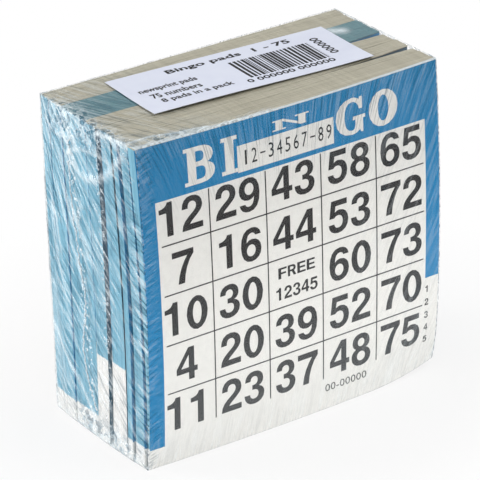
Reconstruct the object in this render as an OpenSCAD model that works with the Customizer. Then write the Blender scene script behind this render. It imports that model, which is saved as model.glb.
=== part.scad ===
// Brick of gummed bingo pads in clear shrink film, with a paper label on top.
// It stands on its lower edge. The origin is in the middle of the underside,
// +X runs across the cards, -Y is the printed front and +Z is up.

/* [Sheets] */
// Width of a card sheet
sheet_w = 101.6; // [60:0.2:160]
// Height of a pad, from the lower edge of its sheets to the top of its gum
pad_h = 98.8; // [60:0.2:160]
// Thickness of one sheet of newsprint
leaf_t = 0.09; // [0.05:0.005:0.2]
// Thickness of the gum on the bound upper edge
gum_t = 0.4; // [0.2:0.05:1.5]

/* [Pads from back to front] */
// Sheets in pad 1, the rearmost
pad_1_leaves = 46; // [5:1:200]
// Sheets in pad 2
pad_2_leaves = 70; // [5:1:200]
// Sheets in pad 3, the thick one with blue gum
pad_3_leaves = 140; // [5:1:200]
// Sheets in pad 4, which faces backwards
pad_4_leaves = 65; // [5:1:200]
// Sheets in pad 5, which faces backwards
pad_5_leaves = 73; // [5:1:200]
// Sheets in pad 6
pad_6_leaves = 34; // [5:1:200]
// Sheets in pad 7
pad_7_leaves = 52; // [5:1:200]
// Sheets in pad 8, the front one
pad_8_leaves = 27; // [5:1:200]
// Widest parting between two pads
pad_gap = 0.9; // [0.1:0.05:2]
// Furthest that a pad is pushed sideways in the stack
pad_shift = 0.4; // [0:0.05:2]

/* [Film] */
// Thickness of the shrink film
film_t = 0.1; // [0.05:0.01:0.4]
// Room between the film's side walls and the furthest pad
film_play = 0.05; // [0:0.01:0.5]
// Distance of the side seal from the back of the brick, at its top
seal_top_d = 14.5; // [5:0.5:30]
// Distance of the side seal from the back of the brick, at its foot
seal_foot_d = 22; // [5:0.5:30]
// Width of the melted bead along the seal
bead_w = 1.2; // [0.6:0.1:3]
// Height of the bead above the film
bead_h = 0.4; // [0.1:0.05:1]
// Flat film left between the bead's ends and the edges of the side
bead_end = 10; // [2:0.5:30]

/* [Label] */
// Length of the label
label_w = 72; // [40:0.5:90]
// Depth of the label
label_d = 27; // [15:0.5:36]
// Thickness of the label with its adhesive
label_t = 0.12; // [0.05:0.01:0.4]
// Distance of the label's middle to the right of the brick's middle
label_x = 2.4; // [-5:0.1:5]
// Distance of the label's middle behind the brick's middle
label_y = 4.2; // [-5:0.1:5]
// Turn of the label on the top, counterclockwise from above
label_turn = -3.5; // [-8:0.5:8]

/* [Hidden] */
$fn = 48;

// Stack of pads, from the back: sheets in each, which way it faces and how far it is pushed aside
leaves = [
    pad_1_leaves, pad_2_leaves, pad_3_leaves, pad_4_leaves,
    pad_5_leaves, pad_6_leaves, pad_7_leaves, pad_8_leaves
];
pad_count = len(leaves);
faces_back = [false, false, false, true, true, false, false, false];
shift_shares = [0.4, -0.5, 0.2, -1, 0.5, -0.3, 0.7, 1];
// Parting in front of each pad, as a share of the widest one
gap_shares = [0.15, 0.1, 0.15, 1, 0.6, 0.5, 0.4, 0];

// Sum of the first n values of a list
function sum_of(list, n) = n == 0 ? 0 : list[n - 1] + sum_of(list, n - 1);
pad_depths = [for (n = leaves) n * leaf_t];
gaps = [for (s = gap_shares) s * pad_gap];
stack_d = sum_of(pad_depths, pad_count) + sum_of(gaps, pad_count);
// Back of pad n, and its place sideways
function pad_back(n) = stack_d / 2 - sum_of(pad_depths, n - 1) - sum_of(gaps, n - 1);
function pad_x(n) = shift_shares[n - 1] * pad_shift;

// Inside and outside of the film
inner_w = sheet_w + 2 * (pad_shift + film_play);
outer_w = inner_w + 2 * film_t;
outer_d = stack_d + 2 * film_t;
top_z = film_t + pad_h;
front_y = -outer_d / 2;
back_y = outer_d / 2;
// Side seal: a straight line from the foot to the top of the side
seal_foot_y = back_y - seal_foot_d;
seal_top_y = back_y - seal_top_d;
seal_lean = atan((seal_top_y - seal_foot_y) / top_z);
bead_len = top_z / cos(seal_lean) - 2 * bead_end;
// Radius of the bead's round back over its width and height
bead_r = (bead_w * bead_w / 4 + bead_h * bead_h) / (2 * bead_h);

// A slab as wide as a sheet, in the place of pad n, from depth d0 to d1 in front of its back
module pad_slab(n, d0, d1, z0, z1) {
    translate([pad_x(n) - sheet_w / 2, pad_back(n) - d1, z0])
        cube([sheet_w, d1 - d0, z1 - z0]);
}

// Block of sheets of pad n, without its uppermost card
module pad_sheets(n) {
    depth = pad_depths[n - 1];
    d0 = faces_back[n - 1] ? leaf_t : 0;
    color("lightblue") pad_slab(n, d0, d0 + depth - leaf_t, film_t, top_z - gum_t);
}

// Uppermost printed card of pad n, at its front or at its back
module pad_card(n) {
    d0 = faces_back[n - 1] ? 0 : pad_depths[n - 1] - leaf_t;
    color("steelblue") pad_slab(n, d0, d0 + leaf_t, film_t, top_z - gum_t);
}

// Strip of gum over the upper edges of pad n
module pad_gum(n) {
    color(n == 3 ? "cadetblue" : "tan") pad_slab(n, 0, pad_depths[n - 1], top_z - gum_t, top_z);
}

// One side wall of film at height z, seen from the side: points are places along y and z
module film_side(points) {
    for (x = [-outer_w / 2, outer_w / 2 - film_t])
        translate([x, 0, 0])
            rotate([90, 0, 90])
                linear_extrude(film_t) polygon(points);
}

// Flat panel of film over the full width
module film_panel(y0, y1, z0, z1) {
    translate([-outer_w / 2, y0, z0])
        cube([outer_w, y1 - y0, z1 - z0]);
}

// Front half of the film, open to the top and to the back
module film_front() {
    color("aliceblue", 0.3) union() {
        film_panel(front_y, front_y + film_t, 0, top_z);
        film_panel(front_y, seal_foot_y, 0, film_t);
        film_side([[front_y, 0], [seal_foot_y, 0], [seal_top_y, top_z], [front_y, top_z]]);
    }
}

// Rear half of the film, with the panel over the top
module film_rear() {
    color("azure", 0.3) union() {
        film_panel(back_y - film_t, back_y, 0, top_z);
        film_panel(seal_foot_y, back_y, 0, film_t);
        film_panel(front_y, back_y, top_z, top_z + film_t);
        film_side([[seal_foot_y, 0], [back_y, 0], [back_y, top_z], [seal_top_y, top_z]]);
    }
}

// Section of the bead: a low round back over a flat foot on the film
module bead_section() {
    intersection() {
        translate([bead_h - bead_r, 0]) circle(bead_r);
        translate([0, -bead_w / 2]) square([bead_h, bead_w]);
    }
}

// Melted bead of the trim seal on both sides, on the rear half of the film
module seal_bead() {
    color("white")
        for (side = [0, 1])
            mirror([side, 0, 0])
                translate([outer_w / 2, seal_foot_y, 0])
                    rotate([-seal_lean, 0, 0])
                        translate([0, bead_w / 2, bead_end])
                            linear_extrude(bead_len) bead_section();
}

// Paper label, stuck on the film's top panel
module label() {
    color("lavender")
        translate([label_x, label_y, top_z + film_t])
            rotate(label_turn)
                translate([-label_w / 2, -label_d / 2, 0])
                    cube([label_w, label_d, label_t]);
}

for (n = [1 : pad_count]) {
    pad_sheets(n);
    pad_card(n);
    pad_gum(n);
}
film_front();
film_rear();
seal_bead();
label();
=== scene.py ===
"""Looks of a film-wrapped brick of gummed bingo pads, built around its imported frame.

Lengths are millimetres in the part's own frame until a mesh is written: the origin is in the middle
of the underside, +X runs across the cards, -Y is the printed front and +Z is up.
"""

import logging
import math
from dataclasses import dataclass, field
from enum import Enum
from functools import partialmethod
from itertools import combinations
from typing import Sequence

import bmesh
import bpy
import numpy as np
from mathutils import Matrix, Vector


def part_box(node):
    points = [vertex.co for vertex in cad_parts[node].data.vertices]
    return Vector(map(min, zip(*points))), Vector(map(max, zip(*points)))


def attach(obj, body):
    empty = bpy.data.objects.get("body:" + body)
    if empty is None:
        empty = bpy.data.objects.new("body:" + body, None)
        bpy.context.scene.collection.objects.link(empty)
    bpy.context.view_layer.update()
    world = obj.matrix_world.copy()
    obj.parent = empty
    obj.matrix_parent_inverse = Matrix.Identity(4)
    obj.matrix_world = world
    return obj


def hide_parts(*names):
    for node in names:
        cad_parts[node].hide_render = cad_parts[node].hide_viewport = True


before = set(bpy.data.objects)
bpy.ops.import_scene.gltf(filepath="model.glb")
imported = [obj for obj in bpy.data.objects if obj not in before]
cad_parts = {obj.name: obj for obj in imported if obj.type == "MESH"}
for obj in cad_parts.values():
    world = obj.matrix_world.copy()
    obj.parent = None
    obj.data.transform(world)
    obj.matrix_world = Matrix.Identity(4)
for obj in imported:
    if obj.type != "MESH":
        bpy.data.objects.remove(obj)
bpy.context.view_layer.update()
MM = 0.001
FLUSH = 0.001
LEAST = 0.001
SHARP = math.radians(40)
SQUARE_ON = 0.9
CUBIC = 6
MOST_CUTS = 90
WHITE = (1, 1, 1, 1)
DULL = 0.15
BORDER = 4.95
BAND_FOOT = 17.2
LOW_FOOT = 6.6
FAN_FROM = (7.0, 16.0)
log = logging.getLogger("bingo_pads")
Colour = tuple[float, float, float]
Spot = tuple[float, float]
Numbers = Sequence[float]


class Slot(Enum):
    """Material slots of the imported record."""

    NEWSPRINT = "newsprint"
    CARD = "card"
    GUM_BUFF = "gum_buff"
    GUM_BLUE = "gum_blue"
    FILM = "film"
    SEAL = "seal"
    LABEL = "label"


class Facing(Enum):
    """Way that a pad's printed side looks, as the sign of its normal along Y."""

    FRONT = -1
    BACK = 1


class Panel(Enum):
    """Panels of the film that carry folds of their own."""

    LEFT = "left"
    RIGHT = "right"
    TOP = "top"
    FRONT = "front"
    BACK = "back"


def deselect_all() -> None:
    """Leaves nothing selected, in object mode."""
    if bpy.context.mode != "OBJECT":
        bpy.ops.object.mode_set(mode="OBJECT")
    bpy.ops.object.select_all(action="DESELECT")


def activate(piece: bpy.types.Object) -> None:
    """Makes one piece the only selected and active one.

    Args:
        piece: The piece.
    """
    deselect_all()
    piece.select_set(True)
    bpy.context.view_layer.objects.active = piece


def name_piece(piece: bpy.types.Object, name: str) -> bpy.types.Object:
    """Gives a piece and its mesh the same name, and hands the piece back.

    Args:
        piece: The piece.
        name: The name.

    Returns:
        The piece.
    """
    piece.name = name
    piece.data.name = name
    return piece


def select_edges_along(piece: bpy.types.Object, axis: int) -> None:
    """Selects, in edit mode, only the edges that run along one axis.

    Args:
        piece: The piece that is being edited.
        axis: 0, 1 or 2, for X, Y or Z.
    """
    mesh = bmesh.from_edit_mesh(piece.data)
    for edge in mesh.edges:
        run = edge.verts[0].co - edge.verts[1].co
        edge.select_set(abs(run[axis]) > 0.99 * run.length)
    mesh.select_flush_mode()
    bmesh.update_edit_mesh(piece.data)


def add_block(name: str, low: Numbers, high: Numbers, cells: Numbers) -> bpy.types.Object:
    """Adds a cube at its size and place, and divides it into an even grid.

    Args:
        name: Name of the piece.
        low: Lowest corner.
        high: Highest corner.
        cells: Number of cells along X, Y and Z.

    Returns:
        The divided block.
    """
    deselect_all()
    bpy.ops.mesh.primitive_cube_add(size=1, location=Vector(np.add(low, high) / 2 * MM))
    block = name_piece(bpy.context.object, name)
    block.scale = Vector(np.subtract(high, low) * MM)
    bpy.ops.object.transform_apply(location=True, rotation=False, scale=True)
    bpy.ops.object.mode_set(mode="EDIT")
    bpy.ops.mesh.select_mode(type="EDGE")
    for axis, count in enumerate(cells):
        first = next(n for n in range(1, count + 1) if count % n == 0 and count // n <= MOST_CUTS)
        for part in (first, count // first):
            if part > 1:
                select_edges_along(block, axis)
                bpy.ops.mesh.subdivide(number_cuts=part - 1)
    bpy.ops.object.mode_set(mode="OBJECT")
    return block


def points_of(piece: bpy.types.Object) -> np.ndarray:
    """Gives a mesh's points in millimetres, one row each.

    Args:
        piece: The piece with the mesh.

    Returns:
        An array with a row of three for each point.
    """
    flat = np.empty(len(piece.data.vertices) * 3, np.float32)
    piece.data.vertices.foreach_get("co", flat)
    return flat.reshape(-1, 3).astype(float) / MM


def place_points(piece: bpy.types.Object, points: np.ndarray) -> None:
    """Moves a mesh's points to places given in millimetres."""
    piece.data.vertices.foreach_set("co", (points * MM).astype(np.float32).ravel())
    piece.data.update()


def join_pieces(parts: list[bpy.types.Object], name: str) -> bpy.types.Object:
    """Joins pieces into the first one, and writes their places into the mesh.

    Args:
        parts: The pieces to join.
        name: Name of the joined piece.

    Returns:
        The joined piece, at the origin.
    """
    activate(parts[0])
    for part in parts:
        part.select_set(True)
    bpy.ops.object.transform_apply(location=True, rotation=True, scale=True)
    if len(parts) > 1:
        bpy.ops.object.join()
    return name_piece(bpy.context.object, name)


def copy_of(piece: bpy.types.Object) -> bpy.types.Object:
    """Copies a piece with a mesh of its own, and shows the copy in the scene.

    Args:
        piece: The piece to copy.

    Returns:
        The copy.
    """
    twin = piece.copy()
    twin.data = piece.data.copy()
    bpy.context.scene.collection.objects.link(twin)
    return twin


def apply_modifier(piece: bpy.types.Object, kind: str, **settings: object) -> None:
    """Adds a modifier with its settings to a piece, and applies it.

    Args:
        piece: The piece to change.
        kind: Blender's type of modifier.
        settings: Values of the modifier's own fields.
    """
    activate(piece)
    modifier = piece.modifiers.new(kind.title(), kind)
    for key, value in settings.items():
        setattr(modifier, key, value)
    bpy.ops.object.modifier_apply(modifier=modifier.name)


def dress(
    piece: bpy.types.Object, body: str, material: bpy.types.Material, node: str = ""
) -> None:
    """Gives a piece its material and the body that it rides on.

    Args:
        piece: The piece.
        body: The body.
        material: Its material.
        node: Node that it stands for, if any.
    """
    piece.data.materials.clear()
    piece.data.materials.append(material)
    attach(piece, body)
    if node:
        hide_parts(node)
    log.info("%s: %d faces", piece.name, len(piece.data.polygons))


def mesh_of(curve: bpy.types.Curve) -> bpy.types.Object:
    """Shows a curve in the scene as a piece with a mesh, selected and active.

    Args:
        curve: The curve.

    Returns:
        The piece.
    """
    piece = bpy.data.objects.new(curve.name, curve)
    bpy.context.scene.collection.objects.link(piece)
    activate(piece)
    bpy.ops.object.convert(target="MESH")
    return bpy.context.object


def smooth_faces(piece: bpy.types.Object) -> None:
    """Shades a piece smooth, but for its sharp edges."""
    activate(piece)
    bpy.ops.object.shade_smooth_by_angle(angle=SHARP)


def level_with(values: np.ndarray, place: float) -> np.ndarray:
    """Tells which values lie at a place."""
    return np.isclose(values, place, atol=FLUSH)


def smooth_noise(a: np.ndarray, b: np.ndarray, seed: int) -> np.ndarray:
    """Smooth noise over two coordinates, with features about one unit wide.

    Args:
        a: First coordinate of each point.
        b: Second coordinate of each point.
        seed: Number that picks the pattern.

    Returns:
        A value from -1 to 1 for each point.
    """
    side = 128
    table = np.random.default_rng(seed).uniform(-1, 1, (side, side))
    row, column = np.floor(a).astype(int), np.floor(b).astype(int)
    down, across = a - row, b - column
    down, across = down * down * (3 - 2 * down), across * across * (3 - 2 * across)
    upper = table[row % side, column % side] * (1 - across)
    upper = upper + table[row % side, (column + 1) % side] * across
    lower = table[(row + 1) % side, column % side] * (1 - across)
    lower = lower + table[(row + 1) % side, (column + 1) % side] * across
    return upper * (1 - down) + lower * down


def crests(a: np.ndarray, b: np.ndarray, seed: int) -> np.ndarray:
    """Sharp-backed ridges over two coordinates, from 0 in the hollows to 1 on the crests."""
    return (1 - np.abs(smooth_noise(a, b, seed))) ** 4


def taut_over(places: np.ndarray, posts: Numbers, heights: Numbers) -> np.ndarray:
    """Height of a line that is drawn taut over posts.

    Args:
        places: Places along the line.
        posts: Places of the posts, in rising order.
        heights: Their heights.

    Returns:
        The line's height at each place.
    """
    pairs = combinations(zip(posts, heights), 2)
    spans = [np.interp(places, (a, b), (p, q), left=0, right=0) for (a, p), (b, q) in pairs]
    return np.maximum(np.max(spans, axis=0), np.interp(places, posts, heights))


class Term:
    """One value in a node tree, whose arithmetic adds Math nodes."""

    def __init__(self, shader: "Shader", socket: bpy.types.NodeSocket) -> None:
        """Wraps a node's output."""
        self.shader = shader
        self.socket = socket

    def join(self, operation: str, *others: "Value") -> "Term":
        """Adds one Math node on this value and others."""
        return self.shader.math(operation, self, *others)

    def __rsub__(self, other: float) -> "Term":
        """Difference from a number."""
        return self.shader.math("SUBTRACT", other, self)

    __add__ = __radd__ = partialmethod(join, "ADD")
    __mul__ = __rmul__ = partialmethod(join, "MULTIPLY")
    __sub__ = partialmethod(join, "SUBTRACT")
    __truediv__ = partialmethod(join, "DIVIDE")
    __pow__ = partialmethod(join, "POWER")
    __abs__ = partialmethod(join, "ABSOLUTE")
    __gt__ = partialmethod(join, "GREATER_THAN")
    __lt__ = partialmethod(join, "LESS_THAN")
    __or__ = partialmethod(join, "MAXIMUM")

    def band(self, low: float, high: float) -> "Term":
        """Value taken from 0 at low to 1 at high, and held there."""
        return self.shader.add("MapRange", {0: self, 1: low, 2: high}, clamp=True)

    def grain(self, scale: float = 1.0, detail: float = 2.0) -> "Term":
        """Noise from 0 to 1 with the given number of features to a unit."""
        return self.shader.add("TexNoise", {"Vector": self, "Scale": scale, "Detail": detail})

    def stretch(self, *scale: float) -> "Term":
        """Coordinates scaled by their own factor on each axis."""
        return self.shader.add("Mapping", {"Vector": self, "Scale": scale})

    def split(self, kind: str = "SeparateXYZ") -> list["Term"]:
        """Each coordinate or colour channel on its own."""
        return [Term(self.shader, socket) for socket in self.shader.node(kind, {0: self}).outputs]


Value = Term | float
Streak = tuple[Value, Value]


class Shader:
    """Node tree of a material or a world, with short calls that add nodes and link them."""

    def __init__(self, name: str, kind: str = "materials") -> None:
        """Starts an empty material or world of that name.

        Args:
            name: Its name.
            kind: Collection of the data that it belongs to.
        """
        self.owner = getattr(bpy.data, kind).new(name)
        self.owner.use_nodes = True
        self.tree = self.owner.node_tree
        self.tree.nodes.clear()

    def node(self, kind: str, inputs: dict | None = None, **settings: object) -> bpy.types.Node:
        """Adds a node.

        Args:
            kind: Node type without its ShaderNode prefix.
            inputs: Values or terms for its inputs, by name or number.
            settings: Values of the node's own fields.

        Returns:
            The node.
        """
        node = self.tree.nodes.new("ShaderNode" + kind)
        for key, value in settings.items():
            setattr(node, key, value)
        for key, value in (inputs or {}).items():
            if isinstance(value, Term):
                self.tree.links.new(value.socket, node.inputs[key])
            else:
                node.inputs[key].default_value = value
        return node

    def add(self, kind: str, inputs: dict | None = None, output: int | str = 0, **settings: object) -> Term:
        """Adds a node like node(), and hands back the term of one of its outputs."""
        return Term(self, self.node(kind, inputs, **settings).outputs[output])

    def math(self, operation: str, *values: Value) -> Term:
        """Adds one Math node on its values."""
        return self.add("Math", dict(enumerate(values)), operation=operation)

    def vector(self, *values: Value) -> Term:
        """Coordinates put together from up to three values."""
        return self.add("CombineXYZ", dict(enumerate(values)))

    def blend(self, share: Value, *colours: Term | Colour) -> Term:
        """Mixes two colours by the share of the second one."""
        first, second = ((*c, 1.0) if isinstance(c, tuple) else c for c in colours)
        return self.add("Mix", {0: share, 6: first, 7: second}, 2, data_type="RGBA")

    def places(self) -> Term:
        """Object coordinates in millimetres."""
        return self.add("TexCoord", output="Object").stretch(*(1 / MM,) * 3)

    def bump(self, height: Term, depth: float) -> Term:
        """Normals of a relief whose height runs over the given depth in millimetres."""
        return self.add("Bump", {"Height": height, "Distance": depth * MM})

    def seen(self) -> Term:
        """1 for rays that show a surface to the camera, in a mirror or through clear film.

        Returns:
            The term.
        """
        kinds = ("Camera", "Glossy", "Transmission")
        camera, mirror, through = (self.add("LightPath", output=f"Is {kind} Ray") for kind in kinds)
        return camera | mirror | through

    def clear(self) -> Term:
        """Shader that lets everything through."""
        return self.add("BsdfTransparent", {"Color": WHITE})

    def mix(self, share: Value, first: Term, second: Term) -> Term:
        """Mixes two shaders by the share of the second one."""
        return self.add("MixShader", {0: share, 1: first, 2: second})

    def surface(self, colour: Term, roughness: float, **more: Value) -> bpy.types.Material:
        """Closes the tree with a Principled shader.

        Args:
            colour: Its base colour.
            roughness: Its roughness.
            more: Its specular level as shine and its normals as relief, where they are set.

        Returns:
            The material.
        """
        names = {"shine": "Specular IOR Level", "relief": "Normal"}
        inputs = {"Base Color": colour, "Roughness": roughness}
        inputs.update({names[key]: value for key, value in more.items()})
        return self.show(self.add("BsdfPrincipled", inputs))

    def show(self, shader: Term, output: str = "OutputMaterial") -> bpy.types.ID:
        """Links a shader to the output and hands back the material or world."""
        self.node(output, {"Surface": shader})
        return self.owner


@dataclass(frozen=True)
class Newsprint:
    """Grey recycled paper, without print."""

    colour: Colour = (0.80, 0.79, 0.755)
    fleck: Colour = (0.66, 0.65, 0.62)
    roughness: float = 0.85

    def paper(self, shader: Shader) -> Term:
        """Adds the paper's mottled colour to a tree.

        Args:
            shader: The tree.

        Returns:
            The colour.
        """
        spot = shader.places()
        cloud = spot.grain(0.5, 4.0).band(0.35, 0.75)
        fibre = spot.grain(4.0, 3.0).band(0.55, 0.8)
        return shader.blend(0.35 * cloud + 0.5 * fibre, self.colour, self.fleck)

    def relief(self, shader: Shader) -> Term:
        """Adds the normals of the paper's tooth to a tree."""
        return shader.bump(shader.places().grain(3.0, 4.0), 0.02)

    def material(self) -> bpy.types.Material:
        """Makes the plain paper."""
        shader = Shader("newsprint_plain")
        return shader.surface(self.paper(shader), self.roughness, shine=DULL, relief=self.relief(shader))


@dataclass(frozen=True)
class PrintedCard:
    """Paper with the blue band and borders of a bingo card, laid out on the card's UV map."""

    paper: Newsprint
    width: float
    height: float
    ink: Colour = (0.010, 0.20, 0.43)
    band_foot: float = BAND_FOOT
    left_edge: float = BORDER
    left_foot: float = 92.8
    right_edge: float = 96.7
    right_foot: float = 67.8
    box_low: Spot = (32.0, 7.6)
    box_high: Spot = (64.5, 15.7)
    bleed: float = 1.0
    wear: float = 0.04
    roughness: float = 0.75

    def inside(self, place: list[Term], low: Spot, high: Spot) -> Term:
        """Mask of a rectangle on the card.

        Args:
            place: Place from the left edge and from the top edge.
            low: Corner nearest to the left and the top.
            high: Corner furthest from them.

        Returns:
            The mask.
        """
        across, down = ((at > start) * (at < end) for at, start, end in zip(place, low, high))
        return across * down

    def material(self) -> bpy.types.Material:
        """Makes the printed paper.

        Returns:
            The material.
        """
        shader = Shader("card_print")
        u, v, _ = shader.add("UVMap", uv_map="card").split()
        place = [u * self.width, v * self.height]
        start, far = -self.bleed, self.width + self.bleed
        upper = self.inside(place, (start, start), (far, self.band_foot))
        left = self.inside(place, (start, start), (self.left_edge, self.left_foot))
        right = self.inside(place, (self.right_edge, start), (far, self.right_foot))
        box = self.inside(place, self.box_low, self.box_high)
        mottle = shader.places().grain(2.2, 4.0).band(0.3, 0.8)
        cover = (upper | left | right) * (1 - box) * (1 - self.wear * mottle)
        colour = shader.blend(cover, self.paper.paper(shader), self.ink)
        return shader.surface(colour, self.roughness, shine=DULL, relief=self.paper.relief(shader))


@dataclass(frozen=True)
class CutEdges:
    """Cut edges of a pad's sheets: pale blue where the print bleeds off, white below it."""

    facing: Facing
    high_foot: float = 27.4
    low_foot: float = LOW_FOOT
    white: Colour = (0.90, 0.89, 0.87)
    grey: Colour = (0.62, 0.60, 0.57)
    blue: Colour = (0.25, 0.51, 0.65)
    shade: Colour = (0.12, 0.32, 0.44)
    bleed_from: float = 49.0
    ragged: float = 1.2
    soft: float = 0.15
    relief: float = 0.12
    roughness: float = 0.8

    def material(self) -> bpy.types.Material:
        """Makes the edges, with a line to each few sheets.

        Returns:
            The material.
        """
        shader = Shader(f"sheet_edges_{self.facing.name.lower()}")
        spot = shader.places()
        x, _, z = spot.split()
        lines = spot.stretch(0.01, 7.0, 0.02).grain(detail=3.0)
        bands = spot.stretch(0.01, 0.7, 0.01).grain(detail=2.0)
        print_right = x > 0.0 if self.facing is Facing.FRONT else 1 - (x > 0.0)
        rise = z - self.ragged * (lines - 0.5) - print_right * (self.high_foot - self.low_foot)
        bleed = rise.band(self.low_foot - self.soft, self.low_foot + self.soft) * (abs(x) > self.bleed_from)
        blue = shader.blend((0.9 * lines + 0.7 * bands).band(0.55, 1.05), self.shade, self.blue)
        white = shader.blend(lines.band(0.2, 0.6), self.grey, self.white)
        relief = shader.bump(lines, self.relief)
        return shader.surface(shader.blend(bleed, white, blue), self.roughness, shine=DULL, relief=relief)


@dataclass(frozen=True)
class BlankBack:
    """Blank side of a pad's last sheet, with its print showing through and painted shade of the partings
    along its rims.
    """

    paper: Newsprint
    half_w: float
    top: float
    border: float = BORDER
    band_foot: float = BAND_FOOT
    low_foot: float = LOW_FOOT
    # Colour of the print showing through, and of the painted shade along the rims
    shown: Colour = (0.03, 0.095, 0.15)
    seen_through: float = 0.1
    soaked: float = 0.88
    soak_reach: float = 4.5
    soft: float = 0.4

    def material(self) -> bpy.types.Material:
        """Makes the blank side.

        Returns:
            The material.
        """
        shader = Shader("sheet_back" if self.soaked else "sheet_back_outer")
        x, _, z = shader.places().split()
        inner, upper = self.half_w - self.border, self.top - self.band_foot
        side = abs(x).band(inner - self.soft, inner + self.soft) * (z > self.low_foot)
        printed = side | z.band(upper - self.soft, upper + self.soft)
        # Painted shade: the rims darken where the narrow partings between the pads are shaded
        shaded_rim = abs(x).band(self.half_w - self.soak_reach, self.half_w - 0.8)
        shaded_rim = shaded_rim | z.band(self.top - self.soak_reach, self.top - 1.0)
        share = self.seen_through * printed + self.soaked * shaded_rim
        colour = shader.blend(share, self.paper.paper(shader), self.shown)
        return shader.surface(colour, self.paper.roughness, shine=DULL)


@dataclass(frozen=True)
class Gum:
    """Brushed padding gum over the bound edges of a pad."""

    slot: Slot
    pale: Colour
    dark: Colour
    relief: float = 0.15
    roughness: float = 0.6

    def material(self) -> bpy.types.Material:
        """Makes the gum, streaked along the sheets and brushed across them.

        Returns:
            The material.
        """
        shader = Shader(self.slot.value)
        spot = shader.places()
        sheets = spot.stretch(0.03, 3.5, 0.5).grain(detail=4.0)
        brush = spot.stretch(0.9, 0.06, 0.5).grain(detail=3.0)
        share = 0.75 * sheets + 0.45 * brush
        colour = shader.blend(share.band(0.38, 0.82), self.dark, self.pale)
        return shader.surface(colour, self.roughness, relief=shader.bump(share, self.relief))


@dataclass(frozen=True)
class Ink:
    """Dark printing ink that lets a little of the paper's grain through."""

    name: str
    colour: Colour = (0.024, 0.023, 0.024)
    thin: Colour = (0.055, 0.053, 0.052)
    roughness: float = 0.6

    def material(self) -> bpy.types.Material:
        """Makes the ink.

        Returns:
            The material.
        """
        shader = Shader(self.name)
        wear = shader.places().grain(2.6, 4.0).band(0.45, 0.8)
        return shader.surface(shader.blend(wear, self.colour, self.thin), self.roughness, shine=DULL)


@dataclass(frozen=True)
class Streaks:
    """One layer of streaks in the film: its white is painted highlight, partly the film's own whitening, and
    its dark is painted shade.

    The place across them and the place along them are sums of two coordinates, each with its factors here.
    """

    across: Spot
    along: Spot
    white: float
    dark: float


@dataclass(frozen=True)
class FilmPlace:
    """Place on the film in a node tree: its coordinates, and masks of the panels."""

    x: Term
    y: Term
    z: Term
    depth: Term
    fall: Term
    on_side: Term
    on_flat: Term
    on_top: Term


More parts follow.
